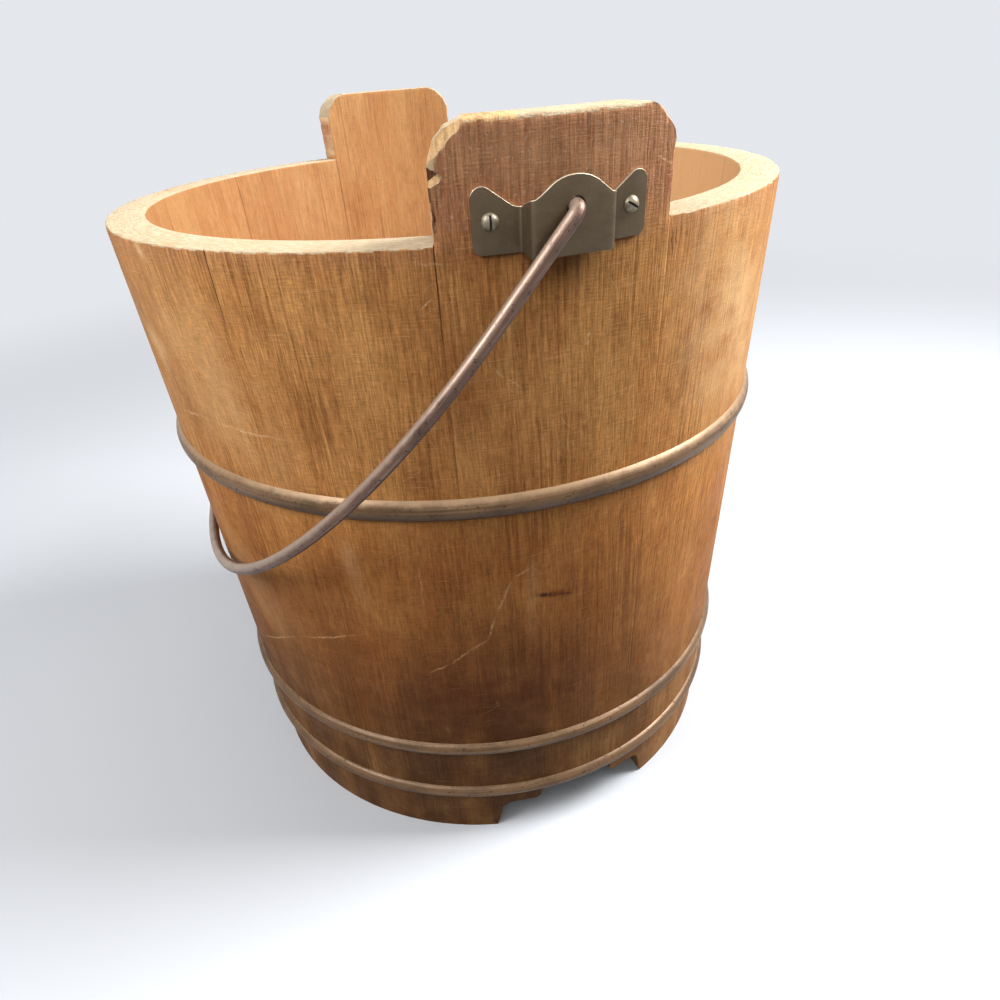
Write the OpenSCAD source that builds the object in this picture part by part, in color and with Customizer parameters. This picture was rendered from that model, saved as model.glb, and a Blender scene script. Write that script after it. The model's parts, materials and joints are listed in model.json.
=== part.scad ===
// Wooden grain bucket of twelve coopered staves, with two ears, three metal hoops and a wire bail.
// Millimetres, +Z up. The origin is on the floor, on the bucket's axis. The ears stand at -Y and +Y.

/* [Bucket] */
// Outer diameter at the rim
rim_d = 292; // [250:1:340]
// Outer diameter at the foot
foot_d = 258; // [230:1:300]
// Height of the rim above the floor
rim_h = 290; // [240:1:360]
// Thickness of the staves
wall = 15.6; // [11:0.2:20]

/* [Ears] */
// Height of the ears above the rim
ear_rise = 33.2; // [27:0.2:45]
// Angle round the bucket that each ear stave takes
ear_deg = 31; // [28:0.5:36]
// Chamfer on the ears' top corners
ear_chamfer = 8; // [2:0.5:12]

/* [Foot cut-outs] */
// Width of a cut-out between the foot tips
arch_w = 82; // [70:1:96]
// Width of its raised middle
arch_mid_w = 38; // [24:1:44]
// Height of its shoulders
arch_shoulder_h = 17.4; // [12:0.2:19]
// Height of its raised middle
arch_h = 23.6; // [20:0.2:30]
// Radius of the cove under each shoulder
arch_cove_r = 5.5; // [2:0.5:8]
// How far each foot tip leans out from the cove to the floor
arch_splay = 2.5; // [0:0.5:6]
// Turn of the cut-outs away from the ears' centre lines
arch_turn = 3.8; // [0:0.2:6]

/* [Bottom] */
// Height of the bottom's underside above the cut-outs
bottom_rise = 8.4; // [4:0.2:24]
// Thickness of the bottom boards
board_t = 12.5; // [10:0.5:18]
// Width of the middle board
board_mid_w = 84; // [50:1:110]
// Thickness of the tongue round the bottom's edge
tongue_t = 6; // [4:0.5:8]
// Depth of the groove in the staves that holds the tongue
croze_depth = 5; // [3:0.5:7]

/* [Hoops] */
// Thickness of the half-oval hoops
hoop_t = 2.8; // [1.5:0.1:4]
// Width of the middle hoop
middle_hoop_w = 9.6; // [7:0.2:16]
// Height of the middle hoop's centre line
middle_hoop_z = 195.4; // [110:1:225]
// Width of the two hoops at the foot
foot_hoop_w = 7; // [5:0.2:10]
// Bare wood between the cut-outs and the foot hoop
foot_hoop_gap = 1.4; // [0.5:0.1:6]
// Distance between the centre lines of the two hoops at the foot
foot_hoop_pitch = 32; // [14:0.5:44]

/* [Ear plates] */
// Width of a plate across its two tabs
plate_w = 56; // [52:0.5:60]
// Thickness of the plate metal
plate_t = 1; // [0.6:0.1:1.4]
// Depth of the pocket behind the raised middle
pocket = 9; // [7:0.1:11]
// Half width of the flat of the raised middle
raise_half = 12.5; // [10:0.5:14]
// How far the pressed walls beside it lean outwards
ramp_run = 0.9; // [0.4:0.1:3]
// Height of the raised middle's rounded top above the rim
eye_top = 17.6; // [16:0.2:20]
// Radius of that top
eye_r = 11; // [9.5:0.1:12.5]
// Height of the tabs above the rim
tab_top = 15.4; // [13:0.2:18]
// Distance of the tabs' lower edge below the rim
tab_low = 4; // [1:0.1:6]
// Distance of the raised middle's lower edge below the rim
raise_low = 4.6; // [1:0.1:8]
// Height of the pivot above the rim
pivot_rise = 9; // [7.6:0.1:10.4]

/* [Screws] */
// Distance of each screw from the middle of its plate
screw_u = 22.4; // [21.4:0.1:23]
// Height of the screws above the rim
screw_rise = 5.6; // [4:0.1:9]
// Diameter of the screw heads
screw_head_d = 5.4; // [4.4:0.1:6]
// Height of the screw heads
screw_head_h = 2; // [1.4:0.1:2.6]
// Diameter of the screw shanks
screw_d = 3; // [2.2:0.1:3.4]
// Length of a screw under its head
screw_len = 12; // [8:0.5:14]

/* [Bail] */
// Diameter of the bail wire
bail_wire_d = 4.76; // [3.6:0.02:5.4]
// Length of the straight legs below the pivot
bail_leg = 38.8; // [28:0.2:50]
// How much larger the side curves' radius is than the half width
bail_side_more = 25.8; // [16:0.2:60]
// How much smaller the bottom curve's radius is than the half width
bail_bottom_less = 8; // [4:0.2:24]
// Radius of the bend at each pivot, on the wire's centre line
bail_bend_r = 3.2; // [3:0.1:5]
// Diameter of the upset head on each wire end
bail_head_d = 8; // [7:0.1:9]
// Thickness of that head
bail_head_t = 1.8; // [1:0.1:2.2]

/* [Clearances] */
// Play between the hoops or plates and the staves
seat_gap = 0.05; // [0:0.01:0.2]
// Play round the bottom boards' edge in the groove
croze_gap = 0.3; // [0.1:0.05:0.5]
// Play round the bail wire in its hole
pivot_gap = 0.6; // [0.3:0.05:0.9]
// Least distance between the bail and the bucket
bail_gap = 0.4; // [0.3:0.05:1]
// Play round the screw shanks in the plates
screw_gap = 0.3; // [0.2:0.05:0.5]

/* [Hidden] */
$fn = 96;
tiny = 0.05;
reach = 40;
// Shares of the half circle between the ears that the five staves of each side take
right_shares = [29.8, 30.1, 29.4, 30.0, 29.7];
left_shares = [29.9, 29.4, 29.9, 29.2, 30.6];
side_count = len(right_shares);

slope = (rim_d - foot_d) / 2 / rim_h;
lean = atan(slope);
ear_h = rim_h + ear_rise;

arch_step_r = (arch_h - arch_shoulder_h) / 2;
board_z = arch_h + bottom_rise;
foot_hoop_z = arch_h + foot_hoop_gap + foot_hoop_w / 2;
lower_hoop_z = foot_hoop_z + foot_hoop_pitch;

wire_r = bail_wire_d / 2;
// Every second stretch of the wire is a hair slimmer and laps into its neighbours
slim_r = wire_r - 0.02;
lap = 0.06;
pivot_z = rim_h + pivot_rise;
pivot_hole_r = wire_r + pivot_gap;
plate_out = seat_gap + pocket + plate_t;
tab_flank_deg = 37;
eye_flank_deg = 43;
tab_corner_r = 2.8;
tab_top_r = 3.4;
// Rounded valley between tab and raised middle, and how far the pressed wall's top climbs from it
valley_r = 5;
valley_rise = 9.1;
valley_step = 1.3;
slot_w = 0.9;
slot_depth = 1;

// Half width of the bail, clear of the plate's highest point
bail_half = outer_r(rim_h + eye_top) + plate_out + bail_gap + wire_r;
bail_side_r = bail_half + bail_side_more;
bail_bottom_r = bail_half - bail_bottom_less;
bail_alpha = acos(bail_side_more / (bail_side_more + bail_bottom_less));
bail_bottom_c = bail_leg + (bail_side_r - bail_bottom_r) * sin(bail_alpha);
bail_drop = bail_bottom_c + bail_bottom_r;
lap_deg = lap / bail_bottom_r * 180 / PI;
// The heads on the wire's ends lie close behind the raised middle
bail_tip = outer_r(pivot_z - bail_head_d / 2) + seat_gap + pocket - bail_gap - bail_head_t;
// Tilt from straight down at which the bail comes to rest beside the wall, or on the middle hoop
bare_tilt = rest_tilt(0);
lands_on_hoop = abs(pivot_z - bail_drop * cos(bare_tilt) - middle_hoop_z)
    < middle_hoop_w / 2 + bail_wire_d;
bail_tilt = lands_on_hoop ? rest_tilt(seat_gap + hoop_t) : bare_tilt;

wood = [0.66, 0.42, 0.24];
board_wood = [0.78, 0.56, 0.34];
bronze = [0.60, 0.45, 0.32];
plate_metal = [0.45, 0.43, 0.34];
screw_metal = [0.72, 0.66, 0.50];
bail_metal = [0.60, 0.42, 0.33];

function stave_name(i) = str("stave_", i < 10 ? "0" : "", i);

// Radius of the bucket's outer face at height z
function outer_r(z) = foot_d / 2 + slope * z;
// Radius of its inner face
function inner_r(z) = outer_r(z) - wall;
// Sum of the first n values of v
function total(v, n) = n <= 0 ? 0 : v[n - 1] + total(v, n - 1);
// Angle from an ear's centre line to the edge after n staves of one side
function stave_edge(shares, n) =
    ear_deg / 2 + (180 - ear_deg) * total(shares, n) / total(shares, len(shares));
// Points along an arc from angle a to angle b
function arc(c, r, a, b, n = 8) =
    [for (i = [0:n]) c + r * [cos(a + (b - a) * i / n), sin(a + (b - a) * i / n)]];
function flipped(points) = [for (i = [len(points) - 1:-1:0]) [-points[i].x, points[i].y]];
// Tilt of the hanging bail whose wire stops bail_gap short of a face that stands out by off
function rest_tilt(off) =
    asin((outer_r(pivot_z) + (off + wire_r + bail_gap) / cos(lean)) * cos(lean) / bail_drop) - lean;

// Solid cone that lies off outside the bucket's outer face, from height z0 to z1
module cone(off, z0, z1) {
    rotate_extrude()
        polygon([[0, z0], [outer_r(z0) + off, z0], [outer_r(z1) + off, z1], [0, z1]]);
}

// Part of the wall between two angles, with the groove that holds the bottom
module wall_sector(from, to, top) {
    groove_z0 = board_z + (board_t - tongue_t) / 2 - croze_gap;
    groove_z1 = groove_z0 + tongue_t + 2 * croze_gap;
    rotate([0, 0, from])
        rotate_extrude(angle = to - from)
            polygon([
                [outer_r(0), 0], [outer_r(top), top], [inner_r(top), top],
                [inner_r(groove_z1), groove_z1], [inner_r(groove_z1) + croze_depth, groove_z1],
                [inner_r(groove_z0) + croze_depth, groove_z0], [inner_r(groove_z0), groove_z0],
                [inner_r(0), 0]
            ]);
}

// Cut-out under an ear, from the axis outwards: foot tips, coves, shoulders and a raised middle
module foot_arch() {
    shoulder_w = arch_w / 2 - arch_splay;
    half = concat(
        [[arch_w / 2, -tiny], [arch_w / 2, 0]],
        arc([shoulder_w - arch_cove_r, arch_shoulder_h - arch_cove_r], arch_cove_r, 0, 90),
        arc([arch_mid_w / 2 + arch_step_r, arch_shoulder_h + arch_step_r], arch_step_r, -90, -180),
        arc([arch_mid_w / 2 - arch_step_r, arch_h - arch_step_r], arch_step_r, 0, 90)
    );
    rotate([0, 0, arch_turn])
        rotate([90, 0, 0])
            linear_extrude(height = foot_d / 2 + reach)
                polygon(concat(half, flipped(half)));
}

module both_arches() {
    foot_arch();
    rotate([0, 0, 180]) foot_arch();
}

// One of the ten plain staves, counted from the front ear towards +X and round
module plain_stave(i) {
    on_right = i <= side_count;
    shares = on_right ? right_shares : left_shares;
    n = on_right ? i : i - side_count;
    color(wood)
        difference() {
            rotate([0, 0, on_right ? -90 : 90])
                wall_sector(stave_edge(shares, n - 1), stave_edge(shares, n), rim_h);
            both_arches();
        }
}

// Triangular prism that takes the corner off an ear; side is -1 or 1
module corner_cut(side) {
    rotate([0, 0, side * ear_deg / 2])
        rotate([90, 0, 0])
            linear_extrude(height = rim_d)
                polygon([
                    [side * tiny, ear_h + tiny], [side * tiny, ear_h - ear_chamfer],
                    [-side * ear_chamfer, ear_h + tiny]
                ]);
}

// Stave that stands above the rim as an ear, with pilot holes for its two screws
module ear_stave() {
    color(wood)
        difference() {
            wall_sector(-90 - ear_deg / 2, -90 + ear_deg / 2, ear_h);
            both_arches();
            for (side = [-1, 1]) {
                corner_cut(side);
                on_ear(side) translate([0, 0, -screw_len - 1])
                    cylinder(d = screw_d + 2 * seat_gap, h = screw_len + 2);
            }
        }
}

// Frame on the ear's face at a screw: +Z points out of the wood
module on_ear(side) {
    z = rim_h + screw_rise;
    rotate([0, 0, side * asin(screw_u / outer_r(z))])
        translate([0, -outer_r(z), z])
            rotate([90 + lean, 0, 0])
                children();
}

// Round bottom with a tongue at half its thickness
module bottom_disc() {
    z0 = board_z;
    z1 = board_z + (board_t - tongue_t) / 2;
    z2 = z1 + tongue_t;
    z3 = board_z + board_t;
    rotate_extrude()
        polygon([
            [0, z0], [inner_r(z0) - croze_gap, z0], [inner_r(z1) - croze_gap, z1],
            [inner_r(z1) + croze_depth - croze_gap, z1], [inner_r(z2) + croze_depth - croze_gap, z2],
            [inner_r(z2) - croze_gap, z2], [inner_r(z3) - croze_gap, z3], [0, z3]
        ]);
}

// The bottom between two distances across, as one board
module bottom_board(from, to) {
    color(board_wood)
        intersection() {
            bottom_disc();
            translate([from, -rim_d, 0]) cube([to - from, 2 * rim_d, rim_h]);
        }
}

// Half-oval hoop that lies on the leaning wall
module hoop(z, w) {
    r = (w * w / 4 + hoop_t * hoop_t) / (2 * hoop_t);
    color(bronze)
        rotate_extrude()
            translate([outer_r(z) + seat_gap, z])
                rotate(-lean)
                    intersection() {
                        translate([hoop_t - r, 0]) circle(r);
                        translate([0, -w / 2]) square([hoop_t, w]);
                    }
}

// Outline of a plate in front view, with heights counted from the rim
function plate_half_outline() = concat(
    [[raise_half, -raise_low], [raise_half + ramp_run, -tab_low]],
    arc([plate_w / 2 - tab_corner_r, tab_corner_r - tab_low], tab_corner_r, -90, 0, 6),
    arc([plate_w / 2 - tab_top_r, tab_top - tab_top_r], tab_top_r, 0, 90 + tab_flank_deg, 8),
    arc([raise_half + ramp_run, valley_rise + valley_r], valley_r, tab_flank_deg - 90, -90, 6),
    [[raise_half, valley_rise + valley_step]],
    arc([0, eye_top - eye_r], eye_r, 90 - eye_flank_deg, 90, 8)
);

// Prism that rises from the ear with slanted sides; inset moves its sides inwards
module ramp_prism(inset) {
    deep = 3;
    spread = ramp_run * deep / pocket;
    low = raise_half + ramp_run + spread - inset;
    high = raise_half - spread - inset;
    base = outer_r(pivot_z) + seat_gap;
    translate([0, 0, pivot_z])
        rotate([lean, 0, 0])
            translate([0, 0, -reach])
                linear_extrude(height = 2 * reach)
                    polygon([
                        [-low, deep - base], [low, deep - base],
                        [high, -base - pocket - deep], [-high, -base - pocket - deep]
                    ]);
}

// Stamped plate: two tabs on the ear, and a raised middle with the pivot hole
module ear_plate() {
    z0 = rim_h - reach;
    z1 = rim_h + reach;
    inset = plate_t / sin(atan(pocket / ramp_run));
    color(plate_metal)
        difference() {
            intersection() {
                union() {
                    cone(seat_gap + plate_t, z0, z1);
                    intersection() {
                        cone(plate_out, z0, z1);
                        ramp_prism(0);
                    }
                }
                translate([0, 0, rim_h])
                    rotate([90, 0, 0])
                        linear_extrude(height = rim_d)
                            polygon(concat(plate_half_outline(), flipped(plate_half_outline())));
            }
            cone(seat_gap, z0 - 1, z1 + 1);
            intersection() {
                cone(seat_gap + pocket, z0 - 1, z1 + 1);
                ramp_prism(inset);
            }
            translate([0, 0, pivot_z]) rotate([90, 0, 0]) cylinder(r = pivot_hole_r, h = rim_d);
            for (side = [-1, 1])
                on_ear(side) translate([0, 0, -plate_t]) cylinder(d = screw_d + 2 * screw_gap, h = 4 * plate_t);
        }
}

// Round-head wood screw with its slot turned by turn
module screw(turn) {
    head_r = (screw_head_d * screw_head_d / 4 + screw_head_h * screw_head_h) / (2 * screw_head_h);
    point = screw_d;
    difference() {
        intersection() {
            translate([0, 0, screw_head_h - head_r]) sphere(head_r);
            cylinder(d = screw_head_d, h = screw_head_h);
        }
        rotate([0, 0, turn])
            translate([-screw_head_d, -slot_w / 2, screw_head_h - slot_depth])
                cube([2 * screw_head_d, slot_w, screw_head_h]);
    }
    translate([0, 0, point - screw_len]) cylinder(d = screw_d, h = screw_len - point);
    translate([0, 0, -screw_len]) cylinder(r1 = screw_d / 10, r2 = screw_d / 2, h = point);
}

// The two screws of one plate; turns gives the angle of each slot
module ear_screws(turns) {
    color(screw_metal)
        for (i = [0, 1])
            on_ear(2 * i - 1) translate([0, 0, 2 * seat_gap + plate_t]) screw(turns[i]);
}

// One side of the bail in its own plane: x across, y up, with the pivot at y = 0
module bail_side() {
    translate([bail_tip, 0, 0]) rotate([0, 90, 0]) cylinder(d = bail_head_d, h = bail_head_t);
    translate([bail_tip, 0, 0])
        rotate([0, 90, 0]) cylinder(r = slim_r, h = bail_half - bail_bend_r - bail_tip + lap);
    translate([bail_half - bail_bend_r, -bail_bend_r, 0])
        rotate_extrude(angle = 90) translate([bail_bend_r, 0]) circle(wire_r);
    translate([bail_half, -bail_leg - lap, 0])
        rotate([-90, 0, 0]) cylinder(r = slim_r, h = bail_leg - bail_bend_r + 2 * lap);
    translate([bail_half - bail_side_r, -bail_leg, 0])
        rotate([0, 0, -bail_alpha])
            rotate_extrude(angle = bail_alpha) translate([bail_side_r, 0]) circle(wire_r);
}

// Wire bail: headed ends in the plates' pockets, straight legs, side curves and a round bottom
module bail() {
    color(bail_metal)
        translate([0, 0, pivot_z])
            rotate([0, bail_tilt, 0])
                rotate([90, 0, 90])
                    union() {
                        bail_side();
                        mirror([1, 0, 0]) bail_side();
                        translate([0, -bail_bottom_c, 0])
                            rotate([0, 0, bail_alpha - lap_deg - 180])
                                rotate_extrude(angle = 180 - 2 * (bail_alpha - lap_deg))
                                    translate([bail_bottom_r, 0]) circle(slim_r);
                    }
}

ear_stave();  // ear_stave_front
rotate([0, 0, 180]) ear_stave();  // ear_stave_back
for (i = [1:2 * side_count])
    plain_stave(i);
bottom_board(-rim_d, -board_mid_w / 2);  // bottom_board_left
bottom_board(-board_mid_w / 2, board_mid_w / 2);  // bottom_board_middle
bottom_board(board_mid_w / 2, rim_d);  // bottom_board_right
hoop(middle_hoop_z, middle_hoop_w);  // hoop_middle
hoop(lower_hoop_z, foot_hoop_w);  // hoop_lower
hoop(foot_hoop_z, foot_hoop_w);  // hoop_foot
ear_plate();  // ear_plate_front
rotate([0, 0, 180]) ear_plate();  // ear_plate_back
ear_screws([90, 150]);  // ear_screws_front
rotate([0, 0, 180]) ear_screws([35, 110]);  // ear_screws_back
bail();
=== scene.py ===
# %% [markdown]
# # A coopered grain bucket
# The bucket is twelve tapered staves, held round a bottom by three half-oval metal hoops. Two of the
# staves stand higher as ears, and a wire bail swings between the plates screwed to them.
# The imported model gives every place and size, so each piece below is measured from it, built finer
# and worn, and then stands in for its plain solid.

# %% Load the imported model
import json
import math

import bmesh
import bpy
from mathutils import Matrix, Vector


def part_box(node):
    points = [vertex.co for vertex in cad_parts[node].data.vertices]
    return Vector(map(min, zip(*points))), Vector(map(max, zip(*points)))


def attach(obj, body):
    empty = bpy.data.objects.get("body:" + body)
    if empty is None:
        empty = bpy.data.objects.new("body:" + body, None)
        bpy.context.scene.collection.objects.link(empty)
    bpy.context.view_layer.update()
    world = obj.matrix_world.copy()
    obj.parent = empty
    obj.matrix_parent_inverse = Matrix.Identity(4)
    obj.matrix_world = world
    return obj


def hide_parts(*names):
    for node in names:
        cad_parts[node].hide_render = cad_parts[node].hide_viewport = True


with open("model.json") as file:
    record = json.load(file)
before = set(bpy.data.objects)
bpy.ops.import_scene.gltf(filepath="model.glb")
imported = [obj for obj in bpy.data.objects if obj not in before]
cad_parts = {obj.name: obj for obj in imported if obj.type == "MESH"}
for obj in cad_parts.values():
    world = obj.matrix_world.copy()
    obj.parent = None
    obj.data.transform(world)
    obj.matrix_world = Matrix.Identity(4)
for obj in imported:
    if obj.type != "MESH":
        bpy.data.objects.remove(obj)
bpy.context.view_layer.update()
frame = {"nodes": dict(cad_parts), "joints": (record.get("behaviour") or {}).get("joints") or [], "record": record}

print("pieces in the packed model:", len(frame["nodes"]))

# %% [markdown]
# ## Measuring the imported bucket
# The wall is a cone, so its radius grows evenly with height. Two radii and a wall thickness, read from
# the vertices of one plain stave, are enough to place anything on it.

# %% Measure the wall, the groove and each stave
MM = 0.001


def places(node):
    return [v.co.copy() for v in frame["nodes"][node].data.vertices]


def radius(co):
    return math.hypot(co.x, co.y)


plain = places("stave_03")
rim_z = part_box("stave_03")[1].z
ear_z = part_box("ear_stave_front")[1].z
foot_r = max(radius(co) for co in plain if co.z < MM)
rim_r = max(radius(co) for co in plain)
wall = rim_r - min(radius(co) for co in plain if co.z > rim_z - MM)
slope = (rim_r - foot_r) / rim_z
lean = math.atan(slope)


def outer_r(z):
    return foot_r + slope * z


def inner_r(z):
    return outer_r(z) - wall


groove = [co for co in plain if inner_r(co.z) + MM < radius(co) < outer_r(co.z) - MM]
groove_low = min(co.z for co in groove)
groove_high = max(co.z for co in groove)
groove_depth = max(radius(co) - inner_r(co.z) for co in groove)


def azimuths(node):
    """Lowest and highest azimuth of a stave, in radians, free of the jump at half a turn."""
    all_co = places(node)
    middle = sum(all_co, Vector()) / len(all_co)
    centre = math.atan2(middle.y, middle.x)
    turns = [math.remainder(math.atan2(co.y, co.x) - centre, math.tau) for co in all_co]
    return centre + min(turns), centre + max(turns)


print(f"rim {rim_r:.4f} m, foot {foot_r:.4f} m, wall {wall:.4f} m, height {rim_z:.4f} m")
print(f"groove {groove_low:.4f} to {groove_high:.4f} m, {groove_depth:.4f} m deep")

# %% [markdown]
# ## Hand tools
# A few short helpers do what a hand does in edit mode: pick vertices or edges by their place, draw an
# outline by extruding one vertex from point to point, and spin a section round an axis.

# %% Helpers for objects and selections
def deselect():
    for obj in list(bpy.context.selected_objects):
        obj.select_set(False)
    bpy.context.view_layer.objects.active = None


def take(obj):
    """Makes obj the one selected and active object."""
    deselect()
    obj.select_set(True)
    bpy.context.view_layer.objects.active = obj
    return obj


def edit(obj):
    take(obj)
    bpy.ops.object.mode_set(mode="EDIT")
    bpy.ops.mesh.select_mode(type="VERT")


def leave():
    bpy.ops.object.mode_set(mode="OBJECT")


def pick(kind, test):
    """In edit mode, selects only the verts, edges or faces that pass the test."""
    bpy.ops.mesh.select_mode(type={"verts": "VERT", "edges": "EDGE", "faces": "FACE"}[kind])
    bpy.ops.mesh.select_all(action="DESELECT")
    mesh = bpy.context.object.data
    shape = bmesh.from_edit_mesh(mesh)
    found = [item for item in getattr(shape, kind) if test(item)]
    for item in found:
        item.select_set(True)
    shape.select_flush_mode()
    bmesh.update_edit_mesh(mesh)
    return len(found)


def ends(edge):
    return [v.co for v in edge.verts]


# %% Helpers for outlines, spins and modifiers
def trace(name, points):
    """Draws a closed outline by extruding a vertex from point to point, and fills it."""
    deselect()
    bpy.ops.mesh.primitive_plane_add(size=MM, location=points[0])
    obj = bpy.context.object
    obj.name = name
    bpy.ops.object.transform_apply(location=True, rotation=True, scale=True)
    edit(obj)
    bpy.ops.mesh.merge(type="CENTER")
    for start, stop in zip(points, points[1:] + points[:1]):
        step = Vector(stop) - Vector(start)
        bpy.ops.mesh.extrude_region_move(TRANSFORM_OT_translate={"value": step})
    bpy.ops.mesh.select_all(action="SELECT")
    bpy.ops.mesh.remove_doubles(threshold=0.001 * MM)
    bpy.ops.mesh.edge_face_add()
    leave()
    return obj


def spin(obj, angle, steps, centre=(0, 0, 0), axis=(0, 0, 1)):
    """Spins all of obj round an axis, anticlockwise as seen from the axis's tip. The spin operator
    counts the other way, so the angle is negated. A full turn is closed by merging its doubles, and
    the copies of the section that the spin leaves inside are taken out."""
    edit(obj)
    bpy.ops.mesh.select_all(action="SELECT")
    bpy.ops.mesh.spin(steps=steps, angle=-angle, center=centre, axis=axis)
    bpy.ops.mesh.select_all(action="SELECT")
    bpy.ops.mesh.remove_doubles(threshold=0.002 * MM)
    pick("faces", lambda f: all(len(e.link_faces) > 2 for e in f.edges))
    bpy.ops.mesh.delete(type="FACE")
    bpy.ops.mesh.select_mode(type="VERT")
    bpy.ops.mesh.select_all(action="SELECT")
    bpy.ops.mesh.delete_loose()
    face_out()
    leave()


def face_out():
    bpy.ops.mesh.select_all(action="SELECT")
    bpy.ops.mesh.normals_make_consistent(inside=False)


def apply_modifier(obj, kind, **settings):
    take(obj)
    modifier = obj.modifiers.new(kind.title(), kind)
    for key, value in settings.items():
        setattr(modifier, key, value)
    bpy.ops.object.modifier_apply(modifier=modifier.name)


def cut(obj, cutter):
    """Cuts one closed solid out of another. The empty material slot that this leaves is cleared."""
    apply_modifier(obj, "BOOLEAN", operation="DIFFERENCE", object=cutter, solver="MANIFOLD")
    obj.data.materials.clear()


def discard(obj):
    bpy.data.objects.remove(obj, do_unlink=True)


def roughen(obj, weight, strength, size):
    """Pushes vertices inwards by soft noise, each as far as weight(place) allows."""
    group = obj.vertex_groups.new(name="rough")
    for v in obj.data.vertices:
        amount = weight(v.co)
        if amount > 0:
            group.add([v.index], amount, "REPLACE")
    noise = bpy.data.textures.new(obj.name + "_noise", "CLOUDS")
    noise.noise_scale = size
    noise.noise_depth = 2
    apply_modifier(
        obj, "DISPLACE", texture=noise, texture_coords="LOCAL", strength=strength,
        mid_level=0.85, vertex_group="rough",
    )
    obj.vertex_groups.clear()


def around(r, azimuth, z):
    return Vector((r * math.cos(azimuth), r * math.sin(azimuth), z))


def arc(centre, r, first, last, steps):
    """Points of an arc in a plane, from angle first to angle last in degrees."""
    angles = [math.radians(first + (last - first) * i / steps) for i in range(steps + 1)]
    return [(centre[0] + r * math.cos(a), centre[1] + r * math.sin(a)) for a in angles]


def smooth(obj, degrees=35):
    take(obj)
    bpy.ops.object.shade_smooth_by_angle(angle=math.radians(degrees))


# %% [markdown]
# ## The camera
# The photograph was taken from close by and above, a little to the left of the front ear, so the
# bucket narrows strongly downwards. The camera's place, heading, dip, roll and lens were worked out
# from the ellipses of rim, hoops and foot.

# %% Camera
CAMERA_PLACE = (-0.0871, -0.3655, 0.3373)
CAMERA_HEADING = math.radians(15.38)
CAMERA_DIP = 0.534
CAMERA_ROLL = -0.074
CAMERA_LENS = 27.07
CAMERA_SHIFT = 0.003


def make_camera():
    ahead = Vector((
        math.sin(CAMERA_HEADING) * math.cos(CAMERA_DIP),
        math.cos(CAMERA_HEADING) * math.cos(CAMERA_DIP),
        -math.sin(CAMERA_DIP),
    ))
    level = Vector((math.cos(CAMERA_HEADING), -math.sin(CAMERA_HEADING), 0))
    above = level.cross(ahead)
    right = math.cos(CAMERA_ROLL) * level + math.sin(CAMERA_ROLL) * above
    up = -math.sin(CAMERA_ROLL) * level + math.cos(CAMERA_ROLL) * above
    data = bpy.data.cameras.new("camera")
    data.lens = CAMERA_LENS
    data.shift_x = CAMERA_SHIFT
    data.clip_start = 0.01
    camera = bpy.data.objects.new("camera", data)
    bpy.context.scene.collection.objects.link(camera)
    turn = Matrix((right, up, -ahead)).transposed().to_4x4()
    camera.matrix_world = Matrix.Translation(CAMERA_PLACE) @ turn
    bpy.context.scene.camera = camera


make_camera()

# %% [markdown]
# ## Shader groups
# Wood grain, scratches and other marks, and dull metal turn up on several finishes, so each is a group
# with named inputs, built once. Staves carry two attributes that the finishes read: wood_place, which runs
# across, along and into the grain, and wood_edges, the distances to a stave's seam and top outline and
# down from the rim.

# %% Helpers for shader nodes
def set_input(tree, socket, value):
    if isinstance(value, bpy.types.NodeSocket):
        tree.links.new(value, socket)
    elif value is not None:
        socket.default_value = value


def put(tree, kind, inputs=None, **settings):
    """Adds a node, with its settings, and its inputs given by name or number."""
    node = tree.nodes.new(kind)
    for key, value in settings.items():
        setattr(node, key, value)
    for key, value in (inputs or {}).items():
        set_input(tree, node.inputs[key], value)
    return node


def maths(tree, operation, a, b=None, c=None, clamp=False):
    node = put(tree, "ShaderNodeMath", operation=operation, use_clamp=clamp)
    for socket, value in zip(node.inputs, (a, b, c)):
        set_input(tree, socket, value)
    return node.outputs[0]


def ramp(tree, value, low, high, to_low=0.0, to_high=1.0):
    """Maps value from low..high to to_low..to_high along a soft step."""
    node = put(tree, "ShaderNodeMapRange", interpolation_type="SMOOTHSTEP")
    for key, v in (("Value", value), ("From Min", low), ("From Max", high),
                   ("To Min", to_low), ("To Max", to_high)):
        set_input(tree, node.inputs[key], v)
    return node.outputs["Result"]


def blend(tree, amount, a, b, mode="MIX"):
    """Mixes two colours."""
    node = put(tree, "ShaderNodeMix", data_type="RGBA", blend_type=mode)
    set_input(tree, node.inputs[0], amount)
    set_input(tree, node.inputs[6], a)
    set_input(tree, node.inputs[7], b)
    return node.outputs[2]


def stretch(tree, vector, scale, shift=(0, 0, 0)):
    node = put(tree, "ShaderNodeMapping", {"Vector": vector, "Scale": scale, "Location": shift})
    return node.outputs["Vector"]


def noise(tree, vector, detail=2.0, rough=0.5, scale=1.0):
    node = put(tree, "ShaderNodeTexNoise",
               {"Vector": vector, "Scale": scale, "Detail": detail, "Roughness": rough})
    return node.outputs["Fac"]


def new_group(name, inputs, outputs):
    """Starts a node group; inputs maps a name to a kind and a default, outputs a name to a kind."""
    kinds = {"value": "NodeSocketFloat", "colour": "NodeSocketColor", "vector": "NodeSocketVector"}
    group = bpy.data.node_groups.new(name, "ShaderNodeTree")
    for key, (kind, default) in inputs.items():
        socket = group.interface.new_socket(name=key, in_out="INPUT", socket_type=kinds[kind])
        if default is not None:
            socket.default_value = default
    for key, kind in outputs.items():
        group.interface.new_socket(name=key, in_out="OUTPUT", socket_type=kinds[kind])
    return group, put(group, "NodeGroupInput").outputs, put(group, "NodeGroupOutput").inputs


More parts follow.
